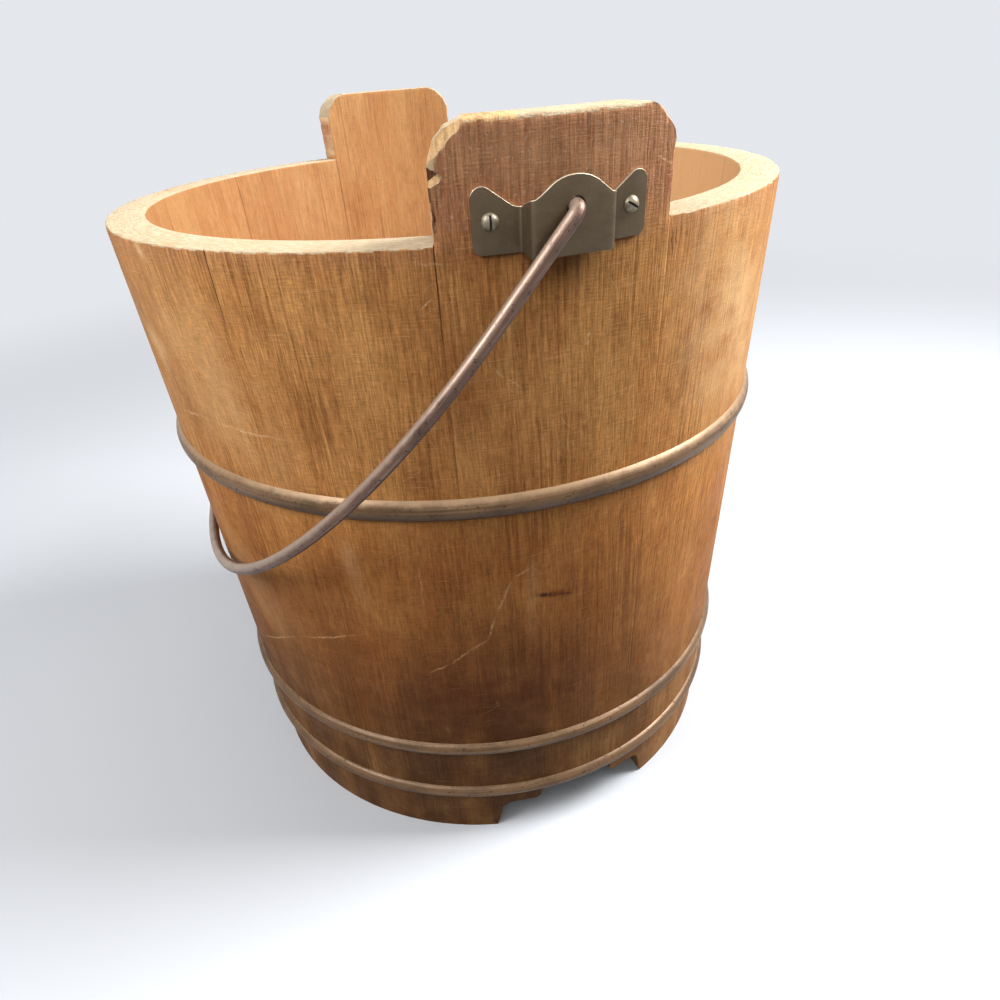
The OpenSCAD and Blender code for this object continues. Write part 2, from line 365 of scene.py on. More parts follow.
def place_group(tree, group, **inputs):
    """Puts a group in a material, with inputs named by words joined by underscores."""
    node = tree.nodes.new("ShaderNodeGroup")
    node.node_tree = group
    for key, value in inputs.items():
        set_input(tree, node.inputs[key.replace("_", " ")], value)
    return node.outputs


# %% [markdown]
# Flat-sawn softwood shows broad soft bands, fine dark lines where the year rings come out, and short
# fibres. Turning and sanding left finer marks straight across the grain.

# %% Wood grain group
def make_grain_group():
    t, i, o = new_group(
        "wood grain",
        {
            "Place": ("vector", None),
            "Pale": ("colour", (0.50, 0.235, 0.078, 1)),
            "Body": ("colour", (0.36, 0.150, 0.047, 1)),
            "Dark": ("colour", (0.20, 0.070, 0.022, 1)),
            "Lines": ("value", 0.5),
            "Marks": ("value", 0.5),
            "Fibres": ("value", 1.0),
        },
        {"Color": "colour", "Height": "value"},
    )
    sway = noise(t, stretch(t, i["Place"], (16, 6, 9)), 1)
    sway = maths(t, "MULTIPLY", maths(t, "SUBTRACT", sway, 0.5), 0.005)
    shift = put(t, "ShaderNodeCombineXYZ", {"X": sway, "Y": 0.0, "Z": 0.0}).outputs[0]
    place = put(t, "ShaderNodeVectorMath", {0: i["Place"], 1: shift}, operation="ADD").outputs[0]
    bands = noise(t, stretch(t, place, (70, 9.0, 20)), 3, 0.6)
    tone = noise(t, stretch(t, i["Place"], (38, 26, 5)), 4, 0.7)
    rings = noise(t, stretch(t, place, (760, 15, 70)), 3, 0.65)
    fibres = noise(t, stretch(t, place, (1500, 130, 300)), 3, 0.75)
    marks = noise(t, stretch(t, i["Place"], (210, 1700, 20)), 3, 0.8)
    colour = blend(t, ramp(t, bands, 0.28, 0.72, 0.15, 0.75), i["Body"], i["Pale"])
    colour = blend(t, ramp(t, tone, 0.50, 0.70, 0.0, 0.65), colour, i["Pale"])
    colour = blend(t, ramp(t, tone, 0.46, 0.30, 0.0, 0.40), colour, i["Dark"])
    ring = ramp(t, rings, 0.40, 0.68)
    strong = ramp(t, noise(t, stretch(t, place, (45, 16, 20)), 2), 0.36, 0.62, 0.15, 1.0)
    thin = maths(t, "MULTIPLY", maths(t, "MULTIPLY", ring, strong), i["Lines"])
    colour = blend(t, thin, colour, i["Dark"])
    cross = maths(t, "MULTIPLY", maths(t, "SUBTRACT", marks, 0.5), i["Marks"])
    light = maths(t, "MULTIPLY_ADD", maths(t, "SUBTRACT", fibres, 0.5), i["Fibres"], 1.0)
    light = maths(t, "ADD", light, cross)
    grey = put(t, "ShaderNodeCombineColor", {"Red": light, "Green": light, "Blue": light}).outputs[0]
    colour = blend(t, 1.0, colour, grey, "MULTIPLY")
    height = maths(t, "MULTIPLY_ADD", ring, -0.4, fibres)
    height = maths(t, "ADD", height, maths(t, "MULTIPLY", cross, 1.1))
    t.links.new(colour, o["Color"])
    t.links.new(height, o["Height"])
    return t


grain_group = make_grain_group()

# %% [markdown]
# Scratches, knots and broad stains are all marks of one kind: a round soft spot, stretched and turned
# by a Mapping node until it is as long and as thin as the mark. A curved scratch is a few of them end
# to end. Places on the wall are given as an azimuth, with the front ear at -90 degrees, and a height.

# %% Wall map and mark groups
WALL_MAP_R = 0.14


def make_wall_map():
    """Turns a place into metres round from the front and metres up, plain and with a wobble."""
    t, i, o = new_group("wall map", {"Place": ("vector", None)},
                        {"Map": "vector", "Wobbly map": "vector"})
    part = put(t, "ShaderNodeSeparateXYZ", {0: i["Place"]}).outputs
    turn = maths(t, "ARCTAN2", part["X"], maths(t, "MULTIPLY", part["Y"], -1.0))
    across = maths(t, "MULTIPLY", turn, WALL_MAP_R)
    out = put(t, "ShaderNodeCombineXYZ", {"X": across, "Y": part["Z"], "Z": 0.0}).outputs[0]
    t.links.new(out, o["Map"])
    wobble = put(t, "ShaderNodeTexNoise", {"Vector": out, "Scale": 260.0, "Detail": 2.0})
    jitter = put(t, "ShaderNodeVectorMath", {0: wobble.outputs["Color"], 1: (0.5, 0.5, 0.5)},
                 operation="SUBTRACT")
    moved = put(t, "ShaderNodeVectorMath", {0: jitter.outputs[0], 1: (0.0018, 0.0018, 0), 2: out},
                operation="MULTIPLY_ADD")
    t.links.new(moved.outputs[0], o["Wobbly map"])
    return t


def make_mark_group():
    t, i, o = new_group(
        "mark",
        {
            "Map": ("vector", None),
            "Centre": ("vector", (0, 0, 0)),
            "Turn": ("vector", (0, 0, 0)),
            "Size": ("vector", (1, 1, 1)),
        },
        {"Mask": "value"},
    )
    local = put(t, "ShaderNodeMapping",
                {"Vector": i["Map"], "Location": i["Centre"], "Rotation": i["Turn"], "Scale": i["Size"]},
                vector_type="TEXTURE")
    spot = put(t, "ShaderNodeTexGradient", {"Vector": local.outputs[0]}, gradient_type="SPHERICAL")
    t.links.new(spot.outputs["Fac"], o["Mask"])
    return t


def make_hairline_group():
    """Short hair-thin scratches that all run one way, as sparse as Rare asks."""
    t, i, o = new_group("hairlines", {"Map": ("vector", None), "Turn": ("vector", (0, 0, 0)),
                                      "Rare": ("value", 0.66)}, {"Mask": "value"})
    local = put(t, "ShaderNodeMapping", {"Vector": i["Map"], "Rotation": i["Turn"],
                                         "Scale": (0.024, 0.0007, 1)}, vector_type="TEXTURE")
    lines = noise(t, local.outputs[0], 1.5, 0.5)
    t.links.new(ramp(t, lines, i["Rare"], maths(t, "ADD", i["Rare"], 0.07)), o["Mask"])
    return t


wall_map_group = make_wall_map()
mark_group = make_mark_group()
hairline_group = make_hairline_group()


def on_wall(degrees, height):
    """Place on the wall map of an azimuth in degrees and a height in metres."""
    return Vector((math.radians(degrees + 90) * WALL_MAP_R, height, 0.0))


# %% Scratch list: azimuths and heights of each rub, its width, and how strong it is
PALE_RUBS = [
    ([(-158, 0.2206), (-149, 0.2232), (-128, 0.2226)], 0.0009, 0.8),
    ([(-163, 0.088), (-142, 0.1155), (-125.5, 0.130)], 0.0008, 0.7),
    ([(-113.2, 0.175), (-113.7, 0.1414)], 0.0007, 0.5),
    ([(-114.4, 0.111), (-110.5, 0.116), (-106.6, 0.124), (-103.3, 0.129)], 0.0009, 0.65),
    ([(-103.3, 0.129), (-101.6, 0.142), (-98.5, 0.160), (-95.1, 0.164)], 0.0011, 0.65),
    ([(-107.9, 0.271), (-106.3, 0.274)], 0.0006, 0.8),
    ([(-99.8, 0.2507), (-97.9, 0.2456), (-95.3, 0.2403)], 0.0006, 0.7),
    ([(-77.2, 0.3080), (-74.7, 0.3052)], 0.0008, 0.9),
    ([(-86.1, 0.2569), (-86.2, 0.2561)], 0.0009, 1.0),
    ([(-86.3, 0.2540), (-86.6, 0.2534)], 0.0008, 1.0),
    ([(-108.2, 0.2851), (-103.7, 0.284)], 0.0007, 0.6),
    ([(-102.6, 0.092), (-102.4, 0.087)], 0.0014, 0.35),
    ([(-112.9, 0.0755), (-112.7, 0.0715)], 0.0014, 0.3),
    ([(-58, 0.232), (-41, 0.226)], 0.0008, 0.5),
    ([(38, 0.205), (61, 0.222)], 0.0008, 0.7),
    ([(118, 0.118), (137, 0.131), (146, 0.128)], 0.0009, 0.7),
]
DARK_MARKS = [
    ([(-94.6, 0.1494), (-91.2, 0.1478)], 0.0018, 0.9),
    ([(-91.2, 0.1478), (-87.6, 0.1462)], 0.0009, 0.7),
    ([(-154.7, 0.2770), (-154.7, 0.2758)], 0.0010, 0.9),
    ([(-104.9, 0.3034), (-105.4, 0.2898)], 0.0011, 0.7),
    ([(-74.2, 0.2890), (-73.7, 0.2740)], 0.0010, 0.5),
    ([(-73.4, 0.2885), (-73.1, 0.2770)], 0.0008, 0.5),
    ([(-72.6, 0.2885), (-72.3, 0.2800)], 0.0008, 0.4),
]


def add_marks(tree, wall_map, marks):
    """Puts a list of marks on the wall map, and gives the mask of them all."""
    total = None
    for line, width, strength in marks:
        for start, stop in zip(line, line[1:]):
            start, stop = on_wall(*start), on_wall(*stop)
            run = stop - start
            mask = place_group(tree, mark_group, Map=wall_map, Centre=(start + stop) / 2,
                               Turn=(0, 0, math.atan2(run.y, run.x)),
                               Size=(run.length * 0.6 + width, width, 1))["Mask"]
            if strength < 1:
                mask = maths(tree, "MULTIPLY", mask, strength)
            total = mask if total is None else maths(tree, "MAXIMUM", total, mask)
    return total


# %% [markdown]
# Old metal here is dull plate over wire or strip: fine lines along the way it was drawn, dark specks
# of tarnish, and worn places that shine a little more.

# %% Worn metal group
def make_metal_group():
    t, i, o = new_group(
        "worn metal",
        {
            "Place": ("vector", None),
            "Drawn": ("vector", (1, 1, 1)),
            "Metal": ("colour", (0.5, 0.35, 0.25, 1)),
            "Tarnish": ("colour", (0.12, 0.08, 0.06, 1)),
            "Shine": ("colour", (0.75, 0.6, 0.5, 1)),
            "Specks": ("value", 0.5),
        },
        {"Color": "colour", "Roughness": "value", "Height": "value"},
    )
    scaled = put(t, "ShaderNodeVectorMath", {0: i["Place"], 1: i["Drawn"]}, operation="MULTIPLY")
    lines = noise(t, scaled.outputs[0], 3, 0.65)
    clouds = noise(t, i["Place"], 3, 0.6, 55.0)
    spots = noise(t, i["Place"], 2, 0.7, 620.0)
    dark = maths(t, "MULTIPLY", ramp(t, clouds, 0.42, 0.7), 0.55)
    colour = blend(t, dark, i["Metal"], i["Tarnish"])
    colour = blend(t, ramp(t, lines, 0.5, 0.75, 0.0, 0.55), colour, i["Shine"])
    colour = blend(t, ramp(t, lines, 0.5, 0.22, 0.0, 0.5), colour, i["Tarnish"])
    speck = maths(t, "MULTIPLY", ramp(t, spots, 0.6, 0.7), i["Specks"])
    colour = blend(t, speck, colour, i["Tarnish"])
    rough = maths(t, "MULTIPLY_ADD", clouds, 0.3, 0.28)
    rough = maths(t, "ADD", rough, maths(t, "MULTIPLY", speck, 0.25))
    height = maths(t, "MULTIPLY_ADD", spots, -0.5, lines)
    t.links.new(colour, o["Color"])
    t.links.new(rough, o["Roughness"])
    t.links.new(height, o["Height"])
    return t


metal_group = make_metal_group()

# %% [markdown]
# ## Finishes
# The wood is the same timber everywhere, but it was turned and varnished outside, left bare inside,
# and cut across at the rim, where the end grain has stayed pale and a little furry.

# %% Helper for a new material
def new_material(name):
    material = bpy.data.materials.new(name)
    material.use_nodes = True
    tree = material.node_tree
    shader = tree.nodes["Principled BSDF"]
    return material, tree, shader


def attribute(tree, name):
    return put(tree, "ShaderNodeAttribute", attribute_name=name).outputs["Vector"]


def object_place(tree):
    return put(tree, "ShaderNodeTexCoord").outputs["Object"]


def bump(tree, height, distance, strength=1.0):
    node = put(tree, "ShaderNodeBump",
               {"Height": height, "Distance": distance, "Strength": strength})
    return node.outputs["Normal"]


# %% Colours of the wood
PALE_WOOD = (0.58, 0.290, 0.096, 1)
BODY_WOOD = (0.41, 0.170, 0.050, 1)
DARK_WOOD = (0.185, 0.060, 0.018, 1)
# Pale worn wood, also used for painted light on the sides and inside.
WORN_AND_LIT_PALE_WOOD = (0.74, 0.47, 0.235, 1)
EAR_TINT = (0.88, 0.86, 1.30, 1)
# Colour of the darkening towards the foot: in part soil, in part painted shade.
SOIL_AND_SHADE_WOOD = (0.050, 0.0195, 0.0085, 1)
SEAM_DIRT = (0.060, 0.022, 0.010, 1)
# Tint of the dark patches: stain, and on the lower front painted shade as well.
STAIN_AND_SHADE_TINT = (0.40, 0.23, 0.18, 1)
WARM_TINT = (1.03, 0.90, 0.77, 1)

# %% [markdown]
# Use has left broad marks too. The lower front is darker, in part stain where it was held against the
# body and stood in dust and in part painted shade, and the sides are paler, in part worn and in part
# painted light. Each is a soft patch, given like a scratch by a line on the wall, but wide.

# %% Broad patches
# The first, wide patch on the lower front is in part painted shade.
DARK_PATCHES = [
    ([(-126, 0.105), (-90, 0.090)], 0.075, 0.62),
    ([(-121, 0.160), (-92, 0.175)], 0.045, 0.42),
    ([(-106.5, 0.285), (-103.5, 0.215)], 0.017, 0.5),
    ([(-138, 0.232), (-110, 0.222)], 0.040, 0.30),
    ([(-112, 0.072), (-105, 0.090)], 0.024, 0.25),
    ([(-105, 0.282), (-93, 0.286)], 0.016, 0.4),
    ([(-93.5, 0.149), (-88.5, 0.147)], 0.005, 0.55),
    ([(20, 0.09), (60, 0.07)], 0.045, 0.35),
    ([(150, 0.2), (170, 0.24)], 0.035, 0.25),
]
# Pale patches: fine streaks and worn places; the broad ones on the sides are in part painted light.
PALE_PATCHES = [
    ([(-152.2, 0.2885), (-150.8, 0.2845)], 0.004, 0.9),
    ([(-100, 0.312), (-80, 0.312)], 0.018, 0.3),
    ([(-163, 0.262), (-156, 0.240)], 0.012, 0.8),
    ([(-155, 0.150), (-150, 0.120)], 0.018, 0.35),
    ([(-60, 0.270), (-50, 0.220)], 0.045, 0.8),
    ([(-150, 0.270), (-140, 0.215)], 0.035, 0.35),
    ([(-141, 0.247), (-138.5, 0.205)], 0.0035, 0.5),
    ([(-149, 0.252), (-147.5, 0.225)], 0.003, 0.4),
    ([(-134.5, 0.243), (-133.8, 0.232)], 0.002, 0.4),
    ([(-95.0, 0.165), (-95.5, 0.128)], 0.004, 0.25),
    ([(-126, 0.19), (-124, 0.15)], 0.006, 0.3),
    ([(70, 0.26), (110, 0.25)], 0.030, 0.35),
]

# %% Turned and varnished wood of the outer faces
def outside_wood():
    material, t, shader = new_material("varnished_stave_wood")
    grain = place_group(t, grain_group, Place=attribute(t, "wood_place"), Pale=PALE_WOOD,
                        Body=BODY_WOOD, Dark=DARK_WOOD, Lines=0.62, Marks=1.05, Fibres=1.8)
    wall_map = place_group(t, wall_map_group, Place=object_place(t))
    plain_map, wobbly_map = wall_map["Map"], wall_map["Wobbly map"]
    edges = put(t, "ShaderNodeSeparateXYZ", {0: attribute(t, "wood_edges")}).outputs
    patchy = noise(t, plain_map, 4, 0.65, 42.0)
    fuzz = noise(t, stretch(t, plain_map, (950, 110, 1)), 3, 0.7)
    on_ear = ramp(t, edges["Z"], 0.012, -0.012)
    colour = blend(t, on_ear, grain["Color"], EAR_TINT, "MULTIPLY")
    lines = noise(t, stretch(t, plain_map, (640, 22, 1)), 2, 0.6)
    colour = blend(t, maths(t, "MULTIPLY", on_ear, ramp(t, lines, 0.46, 0.62, 0.0, 0.6)), colour,
                   (0.60, 0.48, 0.46, 1), "MULTIPLY")
    flecks = noise(t, stretch(t, plain_map, (1100, 620, 1)), 2, 0.7)
    colour = blend(t, maths(t, "MULTIPLY", on_ear, ramp(t, flecks, 0.56, 0.68, 0.0, 0.32)), colour,
                   (0.66, 0.46, 0.33, 1))
    # Dark patches: stains, and on the lower front painted shade as well.
    dark = maths(t, "MULTIPLY", ramp(t, add_marks(t, plain_map, DARK_PATCHES), 0.0, 0.75),
                 ramp(t, patchy, 0.25, 0.68, 0.50, 1.0))
    colour = blend(t, dark, colour, STAIN_AND_SHADE_TINT, "MULTIPLY")
    warm = maths(t, "MULTIPLY", ramp(t, edges["Z"], 0.06, 0.13), ramp(t, edges["Z"], 0.25, 0.20))
    colour = blend(t, warm, colour, WARM_TINT, "MULTIPLY")
    # The wall darkens towards the foot, in part soil and in part painted shade where light falls off downwards;
    # the rightward mask takes some of it away on the right side, painted light where that side is lit.
    foot_soil_and_shade = ramp(t, edges["Z"], rim_z * 0.20, rim_z * 0.86, 0.0, 0.92)
    foot_soil_and_shade = maths(t, "MULTIPLY", foot_soil_and_shade, ramp(t, patchy, 0.3, 0.6, 0.84, 1.0))
    rightward = put(t, "ShaderNodeSeparateXYZ", {0: plain_map}).outputs["X"]
    foot_soil_and_shade = maths(t, "MULTIPLY", foot_soil_and_shade, ramp(t, rightward, -0.01, 0.10, 1.0, 0.55))
    boards = noise(t, stretch(t, plain_map, (34, 5, 1)), 2, 0.6)
    foot_soil_and_shade = maths(t, "MULTIPLY", foot_soil_and_shade, ramp(t, boards, 0.35, 0.6, 0.72, 1.0))
    colour = blend(t, foot_soil_and_shade, colour, SOIL_AND_SHADE_WOOD)
    # Pale patches, in part wear and in part painted light on the sides.
    pale = maths(t, "MULTIPLY", add_marks(t, wobbly_map, PALE_PATCHES), ramp(t, patchy, 0.30, 0.62))
    colour = blend(t, pale, colour, WORN_AND_LIT_PALE_WOOD)
    hairs = place_group(t, hairline_group, Map=plain_map, Turn=(0, 0, 0.05), Rare=0.645)["Mask"]
    for turn, rare in ((0.55, 0.68), (-0.9, 0.69)):
        more = place_group(t, hairline_group, Map=wobbly_map, Turn=(0, 0, turn), Rare=rare)["Mask"]
        hairs = maths(t, "MAXIMUM", hairs, more)
    hairs = maths(t, "MULTIPLY", hairs, ramp(t, edges["Z"], 0.10, 0.22, 1.0, 0.3))
    hairs = maths(t, "MULTIPLY", hairs, ramp(t, patchy, 0.42, 0.60, 0.06, 0.30))
    colour = blend(t, hairs, colour, WORN_AND_LIT_PALE_WOOD)
    near_seam = ramp(t, edges["X"], 0.00005, 0.00038, 1.0, 0.0)
    top_crack = ramp(t, edges["Z"], 0.012, 0.042, 1.0, 0.15)
    seam = maths(t, "MULTIPLY", near_seam, top_crack)
    seam = maths(t, "MULTIPLY", seam, ramp(t, patchy, 0.34, 0.5, 0.4, 1.0))
    colour = blend(t, seam, colour, SEAM_DIRT)
    broken = ramp(t, noise(t, plain_map, 3, 0.7, 420.0), 0.34, 0.60, 0.1, 0.6)
    rub = maths(t, "MULTIPLY", ramp(t, add_marks(t, wobbly_map, PALE_RUBS), 0.05, 0.7), broken)
    colour = blend(t, rub, colour, WORN_AND_LIT_PALE_WOOD)
    dent = maths(t, "MULTIPLY", ramp(t, add_marks(t, wobbly_map, DARK_MARKS), 0.1, 0.7),
                 ramp(t, fuzz, 0.3, 0.5))
    colour = blend(t, dent, colour, SEAM_DIRT)
    lip = maths(t, "MULTIPLY_ADD", maths(t, "SUBTRACT", fuzz, 0.5), -0.0045, edges["Y"])
    colour = blend(t, ramp(t, lip, -0.0007, 0.0006, 0.8, 0.0), colour, (0.66, 0.48, 0.28, 1))
    t.links.new(colour, shader.inputs["Base Color"])
    t.links.new(ramp(t, patchy, 0.3, 0.7, 0.50, 0.66), shader.inputs["Roughness"])
    shader.inputs["Specular IOR Level"].default_value = 0.07
    cuts = maths(t, "MAXIMUM", rub, dent)
    t.links.new(bump(t, maths(t, "SUBTRACT", grain["Height"], cuts), 0.00016), shader.inputs["Normal"])
    return material


# %% Bare wood of the inner faces, and the boards
def inside_wood():
    material, t, shader = new_material("bare_inner_wood")
    grain = place_group(t, grain_group, Place=attribute(t, "wood_place"), Pale=(0.43, 0.235, 0.096, 1),
                        Body=(0.355, 0.156, 0.052, 1), Dark=(0.24, 0.088, 0.027, 1), Lines=0.5, Marks=0.4,
                        Fibres=1.0)
    edges = put(t, "ShaderNodeSeparateXYZ", {0: attribute(t, "wood_edges")}).outputs
    seam = ramp(t, edges["X"], 0.0001, 0.0005, 0.4, 0.0)
    # Painted light: the inner wall is made paler towards +X, on its right side.
    across = put(t, "ShaderNodeSeparateXYZ", {0: object_place(t)}).outputs["X"]
    colour = blend(t, ramp(t, across, 0.05, 0.12, 0.0, 0.6), grain["Color"], WORN_AND_LIT_PALE_WOOD)
    colour = blend(t, seam, colour, SEAM_DIRT)
    t.links.new(colour, shader.inputs["Base Color"])
    shader.inputs["Roughness"].default_value = 0.62
    shader.inputs["Specular IOR Level"].default_value = 0.2
    t.links.new(bump(t, grain["Height"], 0.0001), shader.inputs["Normal"])
    return material


# %% Pale end grain of the rim and the ears' tops
def end_grain():
    material, t, shader = new_material("end_grain")
    place = attribute(t, "wood_place")
    strokes = noise(t, stretch(t, place, (240, 240, 1250)), 3, 0.7)
    pores = noise(t, stretch(t, place, (1000, 700, 1900)), 2, 0.6)
    soil = noise(t, object_place(t), 4, 0.65, 38.0)
    colour = blend(t, ramp(t, strokes, 0.38, 0.64), (0.48, 0.385, 0.262, 1), (0.375, 0.278, 0.168, 1))
    colour = blend(t, ramp(t, pores, 0.56, 0.72, 0.0, 0.45), colour, (0.34, 0.22, 0.12, 1))
    colour = blend(t, ramp(t, soil, 0.50, 0.70, 0.0, 0.5), colour, (0.42, 0.28, 0.15, 1))
    t.links.new(colour, shader.inputs["Base Color"])
    shader.inputs["Roughness"].default_value = 0.85
    shader.inputs["Specular IOR Level"].default_value = 0.15
    t.links.new(bump(t, maths(t, "ADD", pores, strokes), 0.0004), shader.inputs["Normal"])
    return material


# %% Torn wood of the broken corner, and the painted shade in a split
def torn_wood(name, pale, body, dark):
    material, t, shader = new_material(name)
    grain = place_group(t, grain_group, Place=attribute(t, "wood_place"), Pale=pale, Body=body,
                        Dark=dark, Lines=0.7, Marks=0.3, Fibres=1.2)
    t.links.new(grain["Color"], shader.inputs["Base Color"])
    shader.inputs["Roughness"].default_value = 0.85
    shader.inputs["Specular IOR Level"].default_value = 0.15
    t.links.new(bump(t, grain["Height"], 0.0004), shader.inputs["Normal"])
    return material


stave_finishes = [outside_wood(), inside_wood(), end_grain(),
                  torn_wood("torn_wood", (0.60, 0.40, 0.20, 1), (0.45, 0.265, 0.115, 1), (0.24, 0.12, 0.05, 1)),
                  torn_wood("dirty_split_wood", (0.20, 0.100, 0.045, 1), (0.12, 0.052, 0.024, 1),
                            (0.05, 0.020, 0.010, 1))]
OUTSIDE, INSIDE, END, TORN, SPLIT = range(5)

# %% Metal finishes
def metal_finish(name, metal, tarnish, shine, drawn, specks, bump_depth, place=None, dull=0.0,
                 metallic=0.7, painted_highlight_and_shade=0.0, specular=0.5):
    """Places the worn metal group; place names an attribute to read in place of the object's place,
    and the keyword after metallic sets how strongly a painted highlight is laid on the upper side and
    painted shade on the under side."""
    material, t, shader = new_material(name)
    here = attribute(t, place) if place else object_place(t)
    worn = place_group(t, metal_group, Place=here, Drawn=drawn, Metal=metal,
                       Tarnish=tarnish, Shine=shine, Specks=specks)
    colour = worn["Color"]
    # Painted highlight: the upper side goes towards the shine colour. Painted shade: the under side goes towards
    # the tarnish colour.
    if painted_highlight_and_shade:
        upper = put(t, "ShaderNodeSeparateXYZ", {0: attribute(t, "upper_side")}).outputs["X"]
        uneven = noise(t, object_place(t), 3, 0.7, 160.0)
        upper = maths(t, "MULTIPLY_ADD", maths(t, "SUBTRACT", uneven, 0.5), 0.9, upper)
        colour = blend(t, ramp(t, upper, 0.35, 1.0, 0.0, painted_highlight_and_shade), colour, shine)
        colour = blend(t, ramp(t, upper, 0.05, -0.75, 0.0, painted_highlight_and_shade), colour, tarnish)
    t.links.new(colour, shader.inputs["Base Color"])
    t.links.new(maths(t, "ADD", worn["Roughness"], dull), shader.inputs["Roughness"])
    t.links.new(bump(t, worn["Height"], bump_depth), shader.inputs["Normal"])
    shader.inputs["Metallic"].default_value = metallic
    shader.inputs["Specular IOR Level"].default_value = specular
    return material


hoop_finish = metal_finish("dull_bronze_hoop", (0.142, 0.077, 0.035, 1), (0.045, 0.023, 0.010, 1),
                           (0.34, 0.215, 0.115, 1), (14, 14, 1500), 0.95, 0.00005, dull=0.0,
                           metallic=0.22, painted_highlight_and_shade=0.75, specular=0.3)
plate_finish = metal_finish("antique_brass_plate", (0.115, 0.081, 0.047, 1), (0.078, 0.054, 0.032, 1),
                            (0.145, 0.108, 0.066, 1), (180, 180, 260), 0.3, 0.00002, dull=0.04)
# Pale finish for the plates' upward edges: a painted highlight.
plate_edge_highlight = metal_finish("worn_plate_edge", (0.56, 0.47, 0.34, 1), (0.30, 0.24, 0.16, 1),
                           (0.74, 0.66, 0.50, 1), (700, 700, 700), 0.2, 0.00002)
screw_finish = metal_finish("dull_brass_screw", (0.21, 0.172, 0.118, 1), (0.09, 0.072, 0.049, 1),
                            (0.37, 0.32, 0.23, 1), (500, 500, 500), 0.5, 0.00003, metallic=0.5)
slot_finish = metal_finish("grimy_screw_slot", (0.030, 0.024, 0.018, 1), (0.015, 0.012, 0.010, 1),
                           (0.06, 0.05, 0.035, 1), (500, 500, 500), 0.4, 0.00003, dull=0.3, metallic=0.2)
bail_finish = metal_finish("copper_brown_wire", (0.150, 0.078, 0.050, 1), (0.042, 0.021, 0.015, 1),
                           (0.42, 0.31, 0.235, 1), (1300, 1300, 24), 0.9, 0.00004, "wire_place", -0.02,
                           metallic=0.45, painted_highlight_and_shade=0.6)

# %% [markdown]
# ## Staves
# A stave is a board shaped to a slice of a cone. Its section is drawn once as an outline, with the
# groove for the bottom in it, and spun through the stave's own angle. The seam edges are eased a hair
# and the rim's outer edge is worn round, because those edges are where the light catches.

# %% Stave section and spin
ROWS = 14
EAR_ROWS = 14
DEGREES_A_STEP = 0.4
SEAM_EASE = 0.07 * MM
RIM_EASE = 0.9 * MM


def stave_rows(top):
    rows = [rim_z * i / ROWS for i in range(ROWS)] + [rim_z - 3 * MM, rim_z - 1.2 * MM, rim_z]
    if top > rim_z:
        rows += [rim_z + (top - rim_z) * i / EAR_ROWS for i in range(1, EAR_ROWS + 1)]
    return rows


def stave_section(azimuth, top):
    heights = stave_rows(top)
    outside = [around(outer_r(z), azimuth, z) for z in heights]
    notch = [
        around(inner_r(groove_high), azimuth, groove_high),
        around(inner_r(groove_high) + groove_depth, azimuth, groove_high),
        around(inner_r(groove_low) + groove_depth, azimuth, groove_low),
        around(inner_r(groove_low), azimuth, groove_low),
    ]
    above = [around(inner_r(z), azimuth, z) for z in reversed(heights) if z > groove_high + MM]
    below = [around(inner_r(z), azimuth, z) for z in reversed(heights) if z < groove_low - MM]
    return outside + above + notch + below


def spin_stave(name, first, last, top):
    steps = max(8, round(math.degrees(last - first) / DEGREES_A_STEP))
    obj = trace(name, stave_section(first, top))
    spin(obj, last - first, steps)
    return obj


# %% [markdown]
# The ears' top corners are sawn off at 45 degrees with bisect. The front ear's left corner has been
# knocked too, so a slanting cut takes its outer edge off. All edges of the top are then rounded, the
# outer ones more, since that is where a bucket meets its surroundings.

# %% Ear corners
EAR_CHAMFER = 8 * MM
CORNER_SOFT = 1.2 * MM
EAR_EASE = 1.4 * MM
KNOCK_BLOCK = (26 * MM, 26 * MM, 16 * MM)
KNOCKS = [(4 * MM, 4 * MM, 0.9, 3.3 * MM), (12 * MM, 0.0, 0.75, 0.9 * MM)]


def sideways(azimuth, side):
    """Direction along the wall, square to the seam at an azimuth, to the right or left."""
    return Vector((-math.sin(azimuth), math.cos(azimuth), 0)) * side


def saw(obj, place, normal):
    """Takes off all that lies on the normal's side of a plane and closes the cut."""
    edit(obj)
    bpy.ops.mesh.select_all(action="SELECT")
    bpy.ops.mesh.bisect(plane_co=place, plane_no=normal.normalized(), use_fill=True, clear_outer=True)
    leave()


def saw_corner(obj, azimuth, side):
    """Saws an ear's corner off, then takes the point off each of the two edges that this leaves."""
    along, up = sideways(azimuth, side), Vector((0, 0, 1))
    low = around(outer_r(ear_z), azimuth, ear_z - EAR_CHAMFER)
    high = low + up * EAR_CHAMFER - along * EAR_CHAMFER
    saw(obj, low, along + up)
    for corner, normal in ((low, along * 2.4 + up), (high, along + up * 2.4)):
        saw(obj, corner - normal.normalized() * CORNER_SOFT, normal)
    worn = (along + up).normalized() + around(1, azimuth - side * EAR_CHAMFER / rim_r / 2, 0)
    middle = around(outer_r(ear_z - EAR_CHAMFER / 2), azimuth - side * EAR_CHAMFER / rim_r / 2,
                    ear_z - EAR_CHAMFER / 2)
    saw(obj, middle - worn.normalized() * EAR_EASE / 2, worn)


